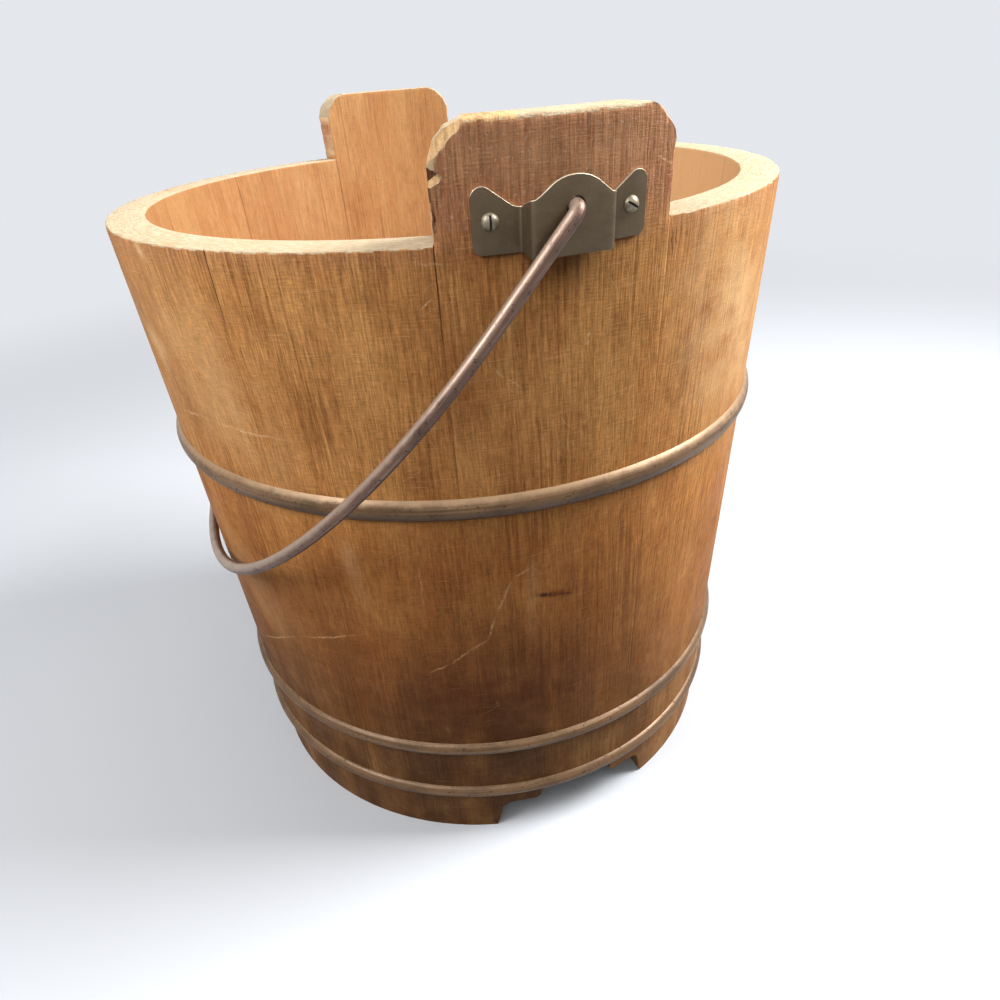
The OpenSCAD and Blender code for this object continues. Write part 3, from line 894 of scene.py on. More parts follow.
def knock_cutter(azimuth, side, across, below, lean_out, depth):
    """A rough block that takes off an ear's outer edge: across and below give a place on that edge,
    lean_out is how far the break looks outwards, and depth is how deep it goes."""
    along, out = sideways(azimuth, side), around(1, azimuth, 0)
    middle = around(outer_r(ear_z), azimuth, ear_z - below) - along * across
    normal = (along * (0.62 if below > 2 * MM else 0.03) + Vector((0, 0, 0.66)) + out * lean_out).normalized()
    deselect()
    bpy.ops.mesh.primitive_cube_add(size=1)
    obj = bpy.context.object
    obj.scale = KNOCK_BLOCK
    bpy.ops.object.transform_apply(location=True, rotation=True, scale=True)
    edit(obj)
    bpy.ops.mesh.select_all(action="SELECT")
    bpy.ops.mesh.subdivide(number_cuts=44)
    leave()
    roughen(obj, lambda co: 1.0, 1.6 * MM, 3.5 * MM)
    turn = normal.to_track_quat("Z", "X").to_matrix().to_4x4()
    lift = Matrix.Translation((0, 0, KNOCK_BLOCK[2] / 2))
    obj.data.transform(Matrix.Translation(middle - normal * depth) @ turn @ lift)
    return obj


# %% Distance to a stave's top outline
class Outline:
    """Where a stave's sides and top are, to ask how far inside them a place lies."""

    def __init__(self, first, last, top):
        self.middle = (first + last) / 2
        self.half = (last - first) / 2
        self.top = top

    def turn(self, co):
        return math.remainder(math.atan2(co.y, co.x) - self.middle, math.tau)

    def from_side(self, co):
        return (self.half - abs(self.turn(co))) * radius(co)

    def below(self, co):
        down = self.top - co.z
        if self.top > rim_z:
            side = self.from_side(co)
            down = min(down, (side + down - EAR_CHAMFER) / math.sqrt(2))
            if co.z > rim_z - 0.01 * MM:
                down = min(down, side)
        return down


# %% Eased edges
def ease_top(obj, outline, r_at, width, low=rim_z, high=ear_z):
    """Rounds the edges between two heights where the outer or inner face meets the top or a side."""
    edit(obj)
    found = pick("edges", lambda e: e.calc_face_angle(0) > 0.5 and all(
        outline.below(co) < 0.25 * MM and low - 0.02 * MM < co.z < high + 0.02 * MM
        and abs(radius(co) - r_at(co.z)) < 0.12 * MM for co in ends(e)))
    bpy.ops.mesh.bevel(offset=width, segments=3, affect="EDGES")
    leave()
    return found


def ease_seams(obj, outline):
    """Takes the sharpness off the edges along the seams, outside and in."""
    def on_seam(e):
        a, b = ends(e)
        outer = all(abs(radius(co) - outer_r(co.z)) < 0.05 * MM for co in (a, b))
        inner = all(abs(radius(co) - inner_r(co.z)) < 0.05 * MM for co in (a, b))
        by_side = all(outline.from_side(co) < 0.05 * MM and co.z < rim_z + 0.01 * MM for co in (a, b))
        return by_side and (outer or inner) and abs(a.z - b.z) > MM

    edit(obj)
    found = pick("edges", on_seam)
    bpy.ops.mesh.bevel(offset=SEAM_EASE, segments=2, affect="EDGES")
    leave()
    return found


# %% Foot cut-outs
ARCH_WIDTH = 82 * MM
ARCH_MIDDLE = 38 * MM
ARCH_SHOULDER = 17.4 * MM
ARCH_HEIGHT = 23.6 * MM
ARCH_COVE = 5.5 * MM
ARCH_SPLAY = 2.5 * MM
ARCH_TURN = math.radians(3.8)


def arch_cutter():
    """A block in the shape of the cut-out, running out from the axis to -Y and turned into place."""
    step_r = (ARCH_HEIGHT - ARCH_SHOULDER) / 2
    cove = ARCH_WIDTH / 2 - ARCH_SPLAY - ARCH_COVE
    half = [(ARCH_WIDTH / 2 + ARCH_SPLAY / 2, -4 * MM), (ARCH_WIDTH / 2, 0.0)]
    half += arc((cove, ARCH_SHOULDER - ARCH_COVE), ARCH_COVE, 0, 90, 8)
    half += arc((ARCH_MIDDLE / 2 + step_r, ARCH_SHOULDER + step_r), step_r, -90, -180, 6)
    half += arc((ARCH_MIDDLE / 2 - step_r, ARCH_HEIGHT - step_r), step_r, 0, 90, 6)
    outline = half + [(-x, z) for x, z in reversed(half)]
    obj = trace("arch_cutter", [Vector((x, -foot_r + 45 * MM, z)) for x, z in outline])
    edit(obj)
    bpy.ops.mesh.select_all(action="SELECT")
    bpy.ops.mesh.extrude_region_move(TRANSFORM_OT_translate={"value": (0, -90 * MM, 0)})
    face_out()
    leave()
    return obj


def turned_copy(obj, angle):
    copy = obj.copy()
    copy.data = obj.data.copy()
    bpy.context.scene.collection.objects.link(copy)
    copy.data.transform(Matrix.Rotation(angle, 4, "Z"))
    return copy


arch = arch_cutter()
arch_front = turned_copy(arch, ARCH_TURN)
arch_back = turned_copy(arch, ARCH_TURN + math.pi)
discard(arch)

# %% [markdown]
# A splinter is gone from the front ear's left edge. It left a ledge above and a slope below, as wood
# that splits along its grain does. The cutter is the splinter's outline, pushed in on a slant,
# subdivided and roughened before it is cut away.

# %% The splinter
SPLINTER_AZIMUTH = math.radians(-105.5)
SPLINTER_Z = 0.3050
SPLINTER = [(-1.5, -1.0), (1.6, 0.8), (3.8, 2.0), (4.8, 3.5), (4.6, 4.4), (2.3, 6.1), (-1.5, 7.4)]
SPLINTER_SLANT = 38


def splinter_cutter():
    along, out = sideways(SPLINTER_AZIMUTH, 1), around(1, SPLINTER_AZIMUTH, 0)
    slant = math.radians(SPLINTER_SLANT)
    inward = Vector((0, 0, math.sin(slant))) - out * math.cos(slant)
    start = around(outer_r(SPLINTER_Z), SPLINTER_AZIMUTH, SPLINTER_Z) - inward * 2.5 * MM
    obj = trace("splinter", [start + (along * a + Vector((0, 0, z))) * MM for a, z in SPLINTER])
    edit(obj)
    bpy.ops.mesh.select_all(action="SELECT")
    bpy.ops.mesh.extrude_region_move(TRANSFORM_OT_translate={"value": inward * 6.2 * MM})
    bpy.ops.mesh.select_all(action="SELECT")
    bpy.ops.mesh.quads_convert_to_tris()
    bpy.ops.mesh.subdivide(number_cuts=5)
    face_out()
    leave()
    roughen(obj, lambda co: 1.0, 1.0 * MM, 1.6 * MM)
    return obj


def corner_wear(co):
    """How far the front ear's worn left corner reaches, from 1 at the corner to 0."""
    corner = around(outer_r(ear_z), SPLINTER_AZIMUTH, ear_z - 4 * MM)
    return max(0.0, 1.0 - (co - corner).length / (17 * MM))


# %% Attributes that the wood finishes read
GRAIN_TILT = [0.012, -0.02, 0.008, 0.03, -0.015, 0.022, -0.008, 0.016, -0.024, 0.01, 0.018, -0.012]
CORNER_WEAR = 4.5 * MM


TIGHT_SEAM = math.radians(-74.5)


def seam_distance(co, outline):
    """Distance from the nearest seam; none where the joint is too tight to be seen, or above the rim."""
    azimuth = math.atan2(co.y, co.x)
    tight = abs(math.remainder(azimuth - TIGHT_SEAM, math.tau)) < math.radians(3)
    return 20 * MM if tight or co.z > rim_z + 0.5 * MM else outline.from_side(co)


def mark_wood(obj, number, outline, wear):
    """Stores each vertex's place in the board, and how far it is from seam, top outline and rim."""
    mesh = obj.data
    place = mesh.attributes.new("wood_place", "FLOAT_VECTOR", "POINT")
    edges = mesh.attributes.new("wood_edges", "FLOAT_VECTOR", "POINT")
    for v in mesh.vertices:
        across = outline.turn(v.co) * rim_r + GRAIN_TILT[number] * v.co.z
        place.data[v.index].vector = (across + 0.7 * number, v.co.z + 0.31 * number, radius(v.co))
        seam = seam_distance(v.co, outline)
        below = outline.below(v.co) - CORNER_WEAR * wear(v.co)
        edges.data[v.index].vector = (seam, below, rim_z - v.co.z)


def broken_off(here):
    """Whether a place lies on the broken corner or in the split of the front ear."""
    in_split = abs(here.z - 0.3085) < 5.5 * MM
    on_corner = here.z > ear_z - 12 * MM
    beside = sideways(SPLINTER_AZIMUTH, 1).dot(here - around(outer_r(here.z), SPLINTER_AZIMUTH, here.z))
    off_wall = outer_r(here.z) - radius(here) > 0.25 * MM
    return off_wall and ((in_split and beside < 6 * MM) or (on_corner and beside < 26 * MM))


def paint_wood(obj, outline, knocked):
    """Gives each face the outer, inner or end-grain finish by the way it looks."""
    mesh = obj.data
    for finish in stave_finishes:
        mesh.materials.append(finish)
    for face in mesh.polygons:
        here = face.center
        facing = face.normal.dot(around(1, math.atan2(here.y, here.x), 0))
        sawn = face.normal.z > 0.35 and here.z > rim_z - 2 * MM
        worn_ear = here.z > ear_z - 1.3 * EAR_CHAMFER and -0.6 < facing < 0.975
        bare_side = here.z > rim_z and (abs(facing) < 0.6 or worn_ear)
        below = face.normal.z < -0.4 and here.z < 25 * MM
        split = knocked and facing > 0 and radius(here) > inner_r(here.z) + MM and broken_off(here)
        # Faces of the split that look sideways or down get the dark split finish, painted shade in the recess.
        if split and face.normal.z < 0.25 and here.z < ear_z - 10 * MM:
            face.material_index = SPLIT
        elif split:
            face.material_index = TORN
        elif sawn or below or bare_side:
            face.material_index = END
        elif facing < -0.2:
            face.material_index = INSIDE


# %% Build the staves
STAVES = ["ear_stave_front", "stave_01", "stave_02", "stave_03", "stave_04", "stave_05",
          "ear_stave_back", "stave_06", "stave_07", "stave_08", "stave_09", "stave_10"]


def near_outer_top(outline):
    def weight(co):
        near_top = max(0.0, 1 - abs(outline.below(co)) / (2.4 * MM))
        near_out = max(0.0, 1 - abs(outer_r(co.z) - radius(co)) / (2.4 * MM))
        return near_top * near_out
    return weight


def build_stave(number, node):
    first, last = azimuths(node)
    is_ear = node.startswith("ear")
    knocked = node == "ear_stave_front"
    outline = Outline(first, last, ear_z if is_ear else rim_z)
    obj = spin_stave(node + "_worn", first, last, outline.top)
    if is_ear:
        saw_corner(obj, first, -1)
        saw_corner(obj, last, 1)
    ease_top(obj, outline, inner_r, 0.45 * MM)
    if is_ear:
        ease_top(obj, outline, outer_r, EAR_EASE, low=ear_z)
    top_edges = ease_top(obj, outline, outer_r, RIM_EASE, high=ear_z - 1.5 * EAR_CHAMFER)
    ease_seams(obj, outline)
    cut(obj, arch_front)
    cut(obj, arch_back)
    roughen(obj, near_outer_top(outline), 1.0 * MM, 2.2 * MM)
    if knocked:
        for cutter in [splinter_cutter()] + [knock_cutter(first, -1, *knock) for knock in KNOCKS]:
            cut(obj, cutter)
            discard(cutter)
    mark_wood(obj, number, outline, corner_wear if knocked else lambda co: 0.0)
    paint_wood(obj, outline, knocked)
    smooth(obj)
    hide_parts(node)
    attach(obj, "bucket")
    print(obj.name, len(obj.data.polygons), "faces,", top_edges, "edges rounded at the top")
    return obj


staves = [build_stave(number, node) for number, node in enumerate(STAVES)]
discard(arch_front)
discard(arch_back)

# %% [markdown]
# ## Bottom boards
# Three boards fill the ring, held by a tongue in the groove. One turned section makes the whole round,
# and each board is the part of it between two saw cuts.

# %% Boards
def board_section():
    low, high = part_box("bottom_board_middle")
    board = places("bottom_board_middle")
    tongue_r = max(radius(co) for co in board)
    tongue = [co.z for co in board if radius(co) > tongue_r - 1.5 * MM]
    t0, t1 = min(tongue), max(tongue)
    play = inner_r(high.z) - max(radius(co) for co in board if co.z > high.z - 0.1 * MM)
    outline = [(0, low.z), (inner_r(low.z) - play, low.z), (inner_r(t0) - play, t0),
               (inner_r(t0) + groove_depth - play, t0), (inner_r(t1) + groove_depth - play, t1),
               (inner_r(t1) - play, t1), (inner_r(high.z) - play, high.z), (0, high.z)]
    return [Vector((r, 0, z)) for r, z in outline]


def board_finish():
    material, t, shader = new_material("bare_board_wood")
    grain = place_group(t, grain_group, Place=attribute(t, "wood_place"), Pale=(0.72, 0.44, 0.215, 1),
                        Body=(0.58, 0.30, 0.125, 1), Dark=(0.36, 0.145, 0.05, 1), Lines=0.45, Marks=0.2)
    t.links.new(grain["Color"], shader.inputs["Base Color"])
    shader.inputs["Roughness"].default_value = 0.62
    t.links.new(bump(t, grain["Height"], 0.00012), shader.inputs["Normal"])
    return material


def build_board(number, node, round_bottom, finish):
    low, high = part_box(node)
    obj = turned_copy(round_bottom, 0)
    obj.name = node + "_planed"
    for x, side in ((low.x, -1), (high.x, 1)):
        if abs(x) < 0.9 * max(abs(low.x), abs(high.x)) or node.endswith("middle"):
            edit(obj)
            bpy.ops.mesh.select_all(action="SELECT")
            bpy.ops.mesh.bisect(plane_co=(x, 0, 0), plane_no=(side, 0, 0),
                                use_fill=True, clear_outer=True)
            leave()
    apply_modifier(obj, "BEVEL", width=0.5 * MM, segments=2, limit_method="ANGLE",
                   angle_limit=math.radians(50))
    place = obj.data.attributes.new("wood_place", "FLOAT_VECTOR", "POINT")
    for v in obj.data.vertices:
        place.data[v.index].vector = (v.co.x + 3.3 + number, v.co.y + 0.4 * number, v.co.z)
    obj.data.materials.append(finish)
    smooth(obj)
    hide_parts(node)
    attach(obj, "bucket")
    return obj


round_bottom = trace("round_bottom", board_section())
spin(round_bottom, math.tau, 180)
bare_board = board_finish()
for number, part in enumerate(("left", "middle", "right")):
    build_board(number, "bottom_board_" + part, round_bottom, bare_board)
discard(round_bottom)

# %% [markdown]
# ## Hoops
# Each hoop is half-oval strip: flat on the wood and rounded outside. Its section is drawn on the
# leaning wall and spun round the bucket.

# %% Hoops
def hoop_section(node):
    low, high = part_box(node)
    z = (low.z + high.z) / 2
    co = places(node)
    width = (high.z - low.z) / math.cos(lean)
    thick = (max(radius(p) for p in co) - outer_r(z)) * math.cos(lean)
    bend = (width * width / 4 + thick * thick) / (2 * thick)
    sweep = math.degrees(math.asin(width / 2 / bend))
    curve = arc((thick - bend, 0), bend, -sweep, sweep, 14)
    edge = 0.25 * MM
    curve = [(edge * 0.2, -width / 2 + edge * 0.1)] + curve[1:-1] + [(edge * 0.2, width / 2 - edge * 0.1)]
    turn = Matrix.Rotation(-lean, 2)
    return [Vector((outer_r(z) + (turn @ Vector(p)).x, 0, z + (turn @ Vector(p)).y)) for p in curve]


def mark_upper(obj, height):
    """Stores how far up round the section each vertex lies, from -1 at the bottom to 1 at the top."""
    upper = obj.data.attributes.new("upper_side", "FLOAT_VECTOR", "POINT")
    for v in obj.data.vertices:
        upper.data[v.index].vector = (height(v.co), 0, 0)


def build_hoop(node):
    obj = trace(node + "_strip", hoop_section(node))
    spin(obj, math.tau, 240)
    low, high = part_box(node)
    # rub sets how strongly the painted highlight on top and painted shade underneath show: fully on the middle
    # hoop, less on the lower two.
    rub = 1.0 if node == "hoop_middle" else 0.45
    mark_upper(obj, lambda co: rub * (2 * co.z - low.z - high.z) / (high.z - low.z))
    roughen(obj, lambda co: 1.0, 0.20 * MM, 30 * MM)
    obj.data.materials.append(hoop_finish)
    smooth(obj, 50)
    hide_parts(node)
    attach(obj, "bucket")
    print(obj.name, [round(x, 4) for x in obj.dimensions])


for node in ("hoop_middle", "hoop_lower", "hoop_foot"):
    build_hoop(node)

# %% [markdown]
# ## Ear plates
# A plate is stamped from 1 mm sheet: two tabs lie on the ear, and the middle is pressed out to leave
# a pocket for the wire's end. The outline is drawn flat, cut into narrow strips so that it can bend,
# pushed out to the pressed shape, and then given its thickness.

# %% Plate outline
PLATE_HALF = 28 * MM
PLATE_THICK = 1.0 * MM
POCKET = 9 * MM
RAISE_HALF = 12.5 * MM
RAMP_RUN = 0.9 * MM
EYE_TOP = 17.6 * MM
EYE_R = 11 * MM
TAB_TOP = 15.4 * MM
TAB_LOW = 4 * MM
RAISE_LOW = 4.6 * MM
TAB_CORNER = 2.8 * MM
TAB_TOP_R = 3.4 * MM
VALLEY_R = 5 * MM
VALLEY_RISE = 9.1 * MM
VALLEY_STEP = 1.3 * MM
TAB_FLANK = 37
EYE_FLANK = 43
SEAT = 0.05 * MM

swing = frame["joints"][0]
pivot_z = swing["pos_m"][2]
pivot_rise = pivot_z - rim_z


def plate_outline():
    ramp_end = RAISE_HALF + RAMP_RUN
    half = [(RAISE_HALF, -RAISE_LOW), (ramp_end, -TAB_LOW)]
    half += arc((PLATE_HALF - TAB_CORNER, TAB_CORNER - TAB_LOW), TAB_CORNER, -90, 0, 8)
    half += arc((PLATE_HALF - TAB_TOP_R, TAB_TOP - TAB_TOP_R), TAB_TOP_R, 0, 90 + TAB_FLANK, 12)
    half += arc((ramp_end, VALLEY_RISE + VALLEY_R), VALLEY_R, TAB_FLANK - 90, -90, 8)
    half += [(RAISE_HALF, VALLEY_RISE + VALLEY_STEP)]
    half += arc((0, EYE_TOP - EYE_R), EYE_R, 90 - EYE_FLANK, 88, 14)
    return half + [(-x, z) for x, z in reversed(half)]


# %% Pressed section of the plate
BEND_R = 1.3 * MM
WALL_TILT = 5
WALL_TOP = 12.0 * MM


def pressed_section():
    """Middle of the sheet from the raised face down to the tab: rolled over, down the wall, rolled out."""
    high = SEAT + POCKET + PLATE_THICK / 2
    low = SEAT + PLATE_THICK / 2
    top = arc((WALL_TOP - BEND_R, high - BEND_R), BEND_R, 90, WALL_TILT, 8)
    drop = top[-1][1] - low - BEND_R * (1 - math.sin(math.radians(WALL_TILT)))
    foot_u = top[-1][0] + drop * math.tan(math.radians(WALL_TILT))
    centre_u = foot_u + BEND_R * math.cos(math.radians(WALL_TILT))
    return top + arc((centre_u, low + BEND_R), BEND_R, 180 + WALL_TILT, 270, 8)


section = [Vector(p) for p in pressed_section()]
BEND_START, BEND_STOP = section[0].x, section[-1].x
section_length = sum((b - a).length for a, b in zip(section, section[1:]))
print("the plate's fold runs from", round(BEND_START, 5), "to", round(BEND_STOP, 5), "m from its middle")


def press(u):
    """Where a place of the flat outline goes when the plate is pressed: across, and off the wood."""
    side, u = math.copysign(1, u), abs(u)
    if u <= BEND_START:
        return side * u, section[0].y
    if u >= BEND_STOP:
        return side * u, section[-1].y
    along = section_length * (u - BEND_START) / (BEND_STOP - BEND_START)
    for a, b in zip(section, section[1:]):
        if along <= (b - a).length:
            spot = a.lerp(b, along / (b - a).length)
            return side * spot.x, spot.y
        along -= (b - a).length
    return side * u, section[-1].y


# %% Bend the plate
FOLD_STRIPS = 32


def build_plate(name):
    obj = trace(name, [Vector((x, 0, rim_z + z)) for x, z in plate_outline()])
    flat = [1.2 * MM * k for k in range(24)]
    cuts = [u for u in flat if u < BEND_START - 0.3 * MM or u > BEND_STOP + 0.3 * MM]
    cuts += [BEND_START + (BEND_STOP - BEND_START) * k / FOLD_STRIPS for k in range(FOLD_STRIPS + 1)]
    edit(obj)
    for u in sorted({-u for u in cuts} | set(cuts)):
        bpy.ops.mesh.select_all(action="SELECT")
        bpy.ops.mesh.bisect(plane_co=(u, 0, 0), plane_no=(1, 0, 0))
    leave()
    for v in obj.data.vertices:
        across, off = press(v.co.x)
        v.co = around(outer_r(v.co.z) + off, across / outer_r(pivot_z) - math.pi / 2, v.co.z)
    edit(obj)
    face_out()
    leave()
    apply_modifier(obj, "SOLIDIFY", thickness=PLATE_THICK, offset=0.0, use_even_offset=True)
    apply_modifier(obj, "BEVEL", width=0.3 * MM, segments=3, limit_method="ANGLE",
                   angle_limit=math.radians(55))
    return obj


def drill(obj, place, direction, r, depth):
    deselect()
    bpy.ops.mesh.primitive_cylinder_add(vertices=48, radius=r, depth=depth, location=place)
    drill_bit = bpy.context.object
    drill_bit.rotation_mode = "QUATERNION"
    drill_bit.rotation_quaternion = Vector(direction).to_track_quat("Z", "Y")
    bpy.ops.object.transform_apply(location=True, rotation=True, scale=True)
    cut(obj, drill_bit)
    discard(drill_bit)


SCREW_U = 22.4 * MM
SCREW_RISE = 5.6 * MM
SCREW_HEAD_R = 2.7 * MM
SCREW_HEAD_H = 2.0 * MM
PIVOT_HOLE_R = 2.98 * MM


def screw_frame(side):
    """Matrix of a screw on the front ear: its Z looks out of the wood and its foot is on the wall."""
    z = rim_z + SCREW_RISE
    turn = side * math.asin(SCREW_U / outer_r(z))
    place = Matrix.Rotation(turn, 4, "Z") @ Matrix.Translation((0, -outer_r(z), z))
    return place @ Matrix.Rotation(math.pi / 2 + lean, 4, "X")


def finish_plate(obj, back):
    drill(obj, (0, -outer_r(pivot_z), pivot_z), (0, 1, 0), PIVOT_HOLE_R, 40 * MM)
    for side in (-1, 1):
        seat = screw_frame(side)
        drill(obj, seat.translation, seat.to_3x3() @ Vector((0, 0, 1)), 1.8 * MM, 8 * MM)
    obj.data.materials.append(plate_finish)
    obj.data.materials.append(plate_edge_highlight)
    # Faces that look upwards, the sheet's top edges, get the pale edge finish, a painted highlight where light
    # from above falls.
    for face in obj.data.polygons:
        by_hole = math.hypot(face.center.x, face.center.z - pivot_z) < PIVOT_HOLE_R + 0.2 * MM
        if face.normal.z > 0.2 and not by_hole:
            face.material_index = 1
    if back:
        obj.data.transform(Matrix.Rotation(math.pi, 4, "Z"))
    smooth(obj, 40)
    node = "ear_plate_back" if back else "ear_plate_front"
    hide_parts(node)
    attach(obj, "bucket")
    print(obj.name, len(obj.data.polygons), "faces")


for back in (False, True):
    finish_plate(build_plate("stamped_plate_" + ("back" if back else "front")), back)

# %% [markdown]
# ## Screws
# Four round-head brass screws with a sawn slot. One is turned from an outline of head and shank, the
# slot is cut, and copies go to their seats, each slot stopped at its own angle.

# %% Screws
def turn_screw():
    dome_r = (SCREW_HEAD_R ** 2 + SCREW_HEAD_H ** 2) / (2 * SCREW_HEAD_H)
    sweep = math.degrees(math.acos((dome_r - SCREW_HEAD_H) / dome_r))
    dome = arc((0, SCREW_HEAD_H - dome_r), dome_r, 90, 90 - sweep, 12)
    outline = dome + [(1.5 * MM, 0), (1.5 * MM, -9 * MM), (0.3 * MM, -12 * MM), (0, -12 * MM)]
    outline[0] = (0, SCREW_HEAD_H)
    obj = trace("screw", [Vector((x, 0, z)) for x, z in outline])
    spin(obj, math.tau, 40)
    deselect()
    bpy.ops.mesh.primitive_cube_add(size=1, location=(0, 0, SCREW_HEAD_H))
    saw = bpy.context.object
    saw.scale = (8 * MM, 0.7 * MM, 2 * MM)
    bpy.ops.object.transform_apply(location=True, rotation=True, scale=True)
    cut(obj, saw)
    discard(saw)
    apply_modifier(obj, "BEVEL", width=0.1 * MM, segments=2, limit_method="ANGLE",
                   angle_limit=math.radians(50))
    obj.data.materials.append(screw_finish)
    obj.data.materials.append(slot_finish)
    for face in obj.data.polygons:
        here = face.center
        # The slot's walls and floor get the near-black slot finish.
        in_slot = abs(here.y) < 0.37 * MM and SCREW_HEAD_H - 1.05 * MM < here.z
        if in_slot and (abs(face.normal.y) > 0.8 or here.z < SCREW_HEAD_H - 0.9 * MM):
            face.material_index = 1
    return obj


def seat_screws(name, node, turns, back):
    pattern = turn_screw()
    half_turn = Matrix.Rotation(math.pi, 4, "Z") if back else Matrix.Identity(4)
    copies = []
    for side, degrees in zip((-1, 1), turns):
        copy = turned_copy(pattern, math.radians(degrees))
        lift = Matrix.Translation((0, 0, PLATE_THICK + 2 * SEAT))
        copy.data.transform(half_turn @ screw_frame(side) @ lift)
        copies.append(copy)
    discard(pattern)
    bpy.context.view_layer.update()
    take(copies[0])
    copies[1].select_set(True)
    bpy.ops.object.join()
    obj = bpy.context.object
    obj.name = name
    print(name, "joined from", [c.name for c in bpy.context.selected_objects])
    smooth(obj, 40)
    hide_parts(node)
    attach(obj, "bucket")


seat_screws("round_head_screws_front", "ear_screws_front", (90, 150), False)
seat_screws("round_head_screws_back", "ear_screws_back", (35, 110), True)

# %% [markdown]
# ## Bail
# The bail is one wire. A circle is extruded along the pin, spun through each bend and extruded down
# each leg, so the wire stays round all the way and its curves run into each other.

# %% Bail
WIRE_R = 2.38 * MM
BAIL_LEG = 38.8 * MM
BAIL_SIDE_MORE = 25.8 * MM
BAIL_BOTTOM_LESS = 8 * MM
BAIL_BEND = 3.2 * MM
BAIL_HEAD_R = 4 * MM
BAIL_HEAD_T = 1.8 * MM

bail_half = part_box("bail")[1].y - WIRE_R
bail_tip = min(co.y for co in places("bail") if co.y > 0 and abs(co.z - pivot_z) < WIRE_R)
print("bail", round(bail_half, 4), "m from the middle, its heads start at", round(bail_tip, 4))


def extrude_ring(step):
    bpy.ops.mesh.extrude_region_move(TRANSFORM_OT_translate={"value": step})


def spin_ring(centre, angle, steps):
    bpy.ops.mesh.spin(steps=steps, angle=-angle, center=centre, axis=(1, 0, 0))


def build_bail():
    """Builds the wire hanging straight down in the plane x = 0, to be tipped to where it rests later."""
    side_r = bail_half + BAIL_SIDE_MORE
    bottom_r = bail_half - BAIL_BOTTOM_LESS
    alpha = math.acos(BAIL_SIDE_MORE / (BAIL_SIDE_MORE + BAIL_BOTTOM_LESS))
    bottom_z = pivot_z - BAIL_LEG - (side_r - bottom_r) * math.sin(alpha)
    deselect()
    bpy.ops.mesh.primitive_circle_add(vertices=32, radius=WIRE_R, fill_type="NGON",
                                      location=(0, bail_tip + MM, pivot_z), rotation=(math.pi / 2, 0, 0))
    obj = bpy.context.object
    obj.name = "bent_wire_bail"
    bpy.ops.object.transform_apply(location=True, rotation=True, scale=True)
    edit(obj)
    bpy.ops.mesh.select_all(action="SELECT")
    extrude_ring((0, bail_half - BAIL_BEND - bail_tip - MM, 0))
    spin_ring((0, bail_half - BAIL_BEND, pivot_z - BAIL_BEND), -math.pi / 2, 10)
    for _ in range(4):
        extrude_ring((0, 0, (BAIL_BEND - BAIL_LEG) / 4))
    spin_ring((0, bail_half - side_r, pivot_z - BAIL_LEG), -alpha, 40)
    spin_ring((0, 0, bottom_z), -(math.pi - 2 * alpha), 64)
    spin_ring((0, side_r - bail_half, pivot_z - BAIL_LEG), -alpha, 40)
    for _ in range(4):
        extrude_ring((0, 0, (BAIL_LEG - BAIL_BEND) / 4))
    spin_ring((0, BAIL_BEND - bail_half, pivot_z - BAIL_BEND), -math.pi / 2, 10)
    extrude_ring((0, bail_half - BAIL_BEND - bail_tip - MM, 0))
    face_out()
    leave()
    return obj


bail = build_bail()
print("bail", [round(x, 4) for x in bail.dimensions])

# %% Tip the bail to its rest and finish it
def bail_tilt():
    """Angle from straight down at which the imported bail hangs."""
    grip = next(m for m in frame["record"]["mounts"] if m["name"] == "bail_grip")["pos_m"]
    return math.atan2(-grip[0], pivot_z - grip[2])


def add_head(side):
    deselect()
    place = (0, side * (bail_tip + BAIL_HEAD_T / 2), pivot_z)
    bpy.ops.mesh.primitive_cylinder_add(vertices=32, radius=BAIL_HEAD_R, depth=BAIL_HEAD_T,
                                        location=place, rotation=(math.pi / 2, 0, 0))
    head = bpy.context.object
    bpy.ops.object.transform_apply(location=True, rotation=True, scale=True)
    apply_modifier(head, "BEVEL", width=0.5 * MM, segments=3, limit_method="ANGLE")
    return head


def wire_offset(co):
    """How far outside the wire's middle line a place lies, in the plane in which it is bent."""
    across, down = abs(co.y), pivot_z - BAIL_LEG - co.z
    if down < 0:
        return across - bail_half
    alpha = math.acos(BAIL_SIDE_MORE / (BAIL_SIDE_MORE + BAIL_BOTTOM_LESS))
    if math.atan2(down, across + BAIL_SIDE_MORE) < alpha:
        return math.hypot(down, across + BAIL_SIDE_MORE) - (bail_half + BAIL_SIDE_MORE)
    rise = (BAIL_SIDE_MORE + BAIL_BOTTOM_LESS) * math.sin(alpha)
    return math.hypot(down - rise, across) - (bail_half - BAIL_BOTTOM_LESS)


def mark_wire(obj):
    """Stores each vertex's place round and along the wire, so that its finish runs along it."""
    wire_place = obj.data.attributes.new("wire_place", "FLOAT_VECTOR", "POINT")
    for v in obj.data.vertices:
        along = math.atan2(v.co.y, pivot_z - BAIL_LEG - v.co.z) * bail_half
        wire_place.data[v.index].vector = (v.co.x, wire_offset(v.co), along)


heads = [add_head(1), add_head(-1)]
take(bail)
for head in heads:
    head.select_set(True)
bpy.ops.object.join()
mark_wire(bail)
# Across the wire, the -x side gets the painted highlight and the +x side the painted shade.
mark_upper(bail, lambda co: -co.x / WIRE_R)
tip = Matrix.Translation((0, 0, pivot_z)) @ Matrix.Rotation(bail_tilt(), 4, "Y") \
    @ Matrix.Translation((0, 0, -pivot_z))
bail.data.transform(tip)
bail.data.materials.append(bail_finish)
smooth(bail, 50)
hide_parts("bail")
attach(bail, "bail")
print("bail lowest", round(min(v.co.z for v in bail.data.vertices), 4))

# %% [markdown]
# ## Floor and light
# A plain pale floor that fades into a pale backdrop, and soft lamps: a wide one above and a little behind for
# the rim, one to each side in front that draws the bright sides, the right one strongest, and a weak one in
# front, as in the photograph.

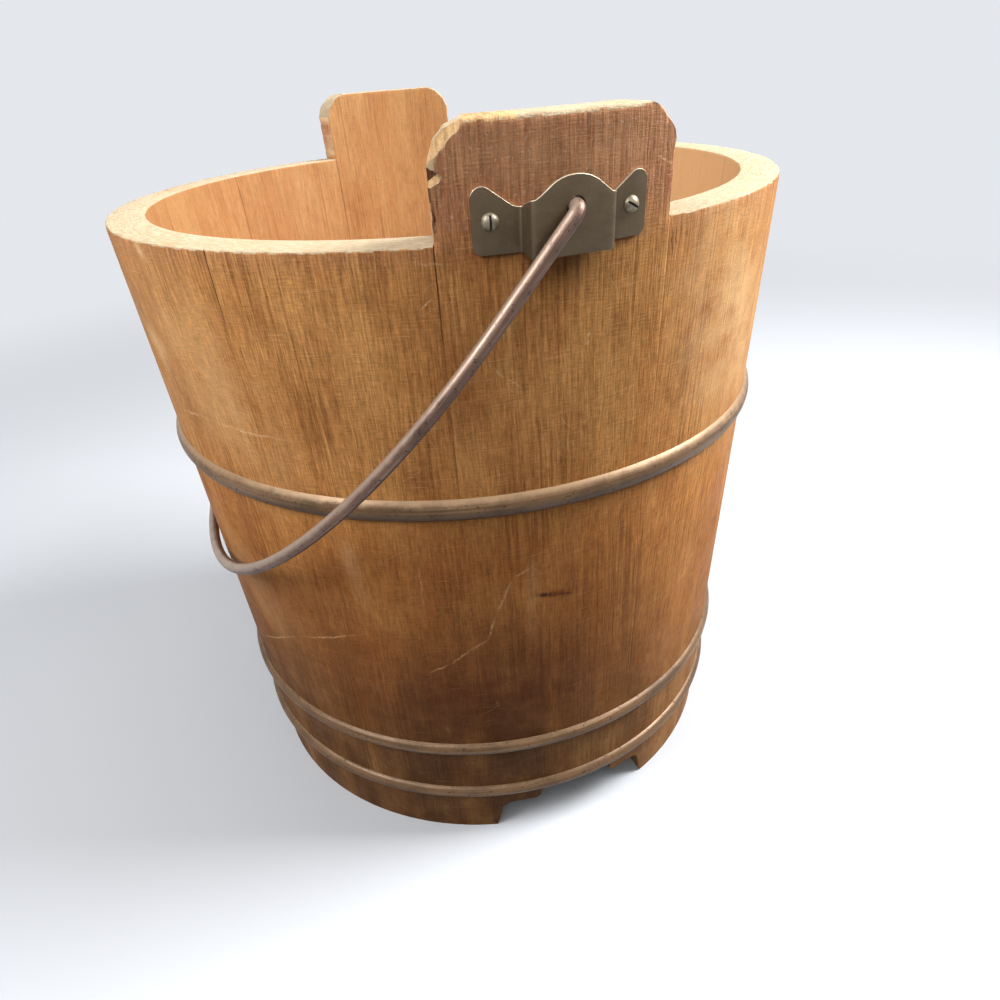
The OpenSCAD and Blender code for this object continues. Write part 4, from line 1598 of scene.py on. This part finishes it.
# %% Floor
BACKDROP = (0.78, 0.80, 0.84, 1)
FLOOR_PALE = (0.50, 0.515, 0.54, 1)
FLOOR_DIM = (0.10, 0.105, 0.115, 1)


def build_floor():
    """A pale floor that fades into the backdrop's colour, so that no horizon shows."""
    deselect()
    bpy.ops.mesh.primitive_plane_add(size=12.0, location=(0, 0, 0))
    floor = bpy.context.object
    floor.name = "floor"
    material, t, shader = new_material("pale_floor")
    ray = put(t, "ShaderNodeLightPath").outputs
    seen = maths(t, "MAXIMUM", ray["Is Camera Ray"], ray["Is Glossy Ray"])
    seen = maths(t, "MAXIMUM", seen, ray["Is Transmission Ray"])
    far = put(t, "ShaderNodeVectorMath", {0: object_place(t)}, operation="LENGTH").outputs["Value"]
    fade = ramp(t, far, 0.35, 1.25)
    near = blend(t, seen, FLOOR_DIM, FLOOR_PALE)
    t.links.new(blend(t, fade, near, (0, 0, 0, 1)), shader.inputs["Base Color"])
    t.links.new(blend(t, maths(t, "MULTIPLY", fade, seen), (0, 0, 0, 1), BACKDROP),
                shader.inputs["Emission Color"])
    shader.inputs["Emission Strength"].default_value = 1.0
    shader.inputs["Roughness"].default_value = 1.0
    shader.inputs["Specular IOR Level"].default_value = 0.0
    floor.data.materials.append(material)


build_floor()

# %% Lamps and world
def lamp(name, place, target, size, power, colour=(1, 1, 1)):
    data = bpy.data.lights.new(name, "AREA")
    data.shape = "RECTANGLE"
    data.size, data.size_y = size
    data.energy = power
    data.color = colour
    obj = bpy.data.objects.new(name, data)
    bpy.context.scene.collection.objects.link(obj)
    obj.location = place
    obj.rotation_mode = "QUATERNION"
    obj.rotation_quaternion = (Vector(target) - Vector(place)).to_track_quat("-Z", "Y")


lamp("above", (0.05, 0.2, 1.3), (0, 0, 0.25), (1.1, 0.9), 5.0)
lamp("left", (-0.8, -0.25, 0.95), (0, 0, 0.27), (0.5, 0.6), 12.5)
lamp("right", (0.8, -0.2, 0.95), (0, 0, 0.27), (0.5, 0.6), 30)
lamp("front", (-0.3, -0.95, 1.15), (0, 0, 0.25), (0.9, 0.6), 5.6)


def build_world():
    world = bpy.data.worlds.new("studio")
    bpy.context.scene.world = world
    world.use_nodes = True
    t = world.node_tree
    ray = put(t, "ShaderNodeLightPath").outputs
    background = t.nodes["Background"]
    seen = maths(t, "MAXIMUM", ray["Is Camera Ray"], ray["Is Glossy Ray"])
    seen = maths(t, "MAXIMUM", seen, ray["Is Transmission Ray"])
    t.links.new(blend(t, seen, (0.13, 0.133, 0.14, 1), BACKDROP), background.inputs["Color"])


build_world()
bpy.context.scene.view_settings.view_transform = "Standard"
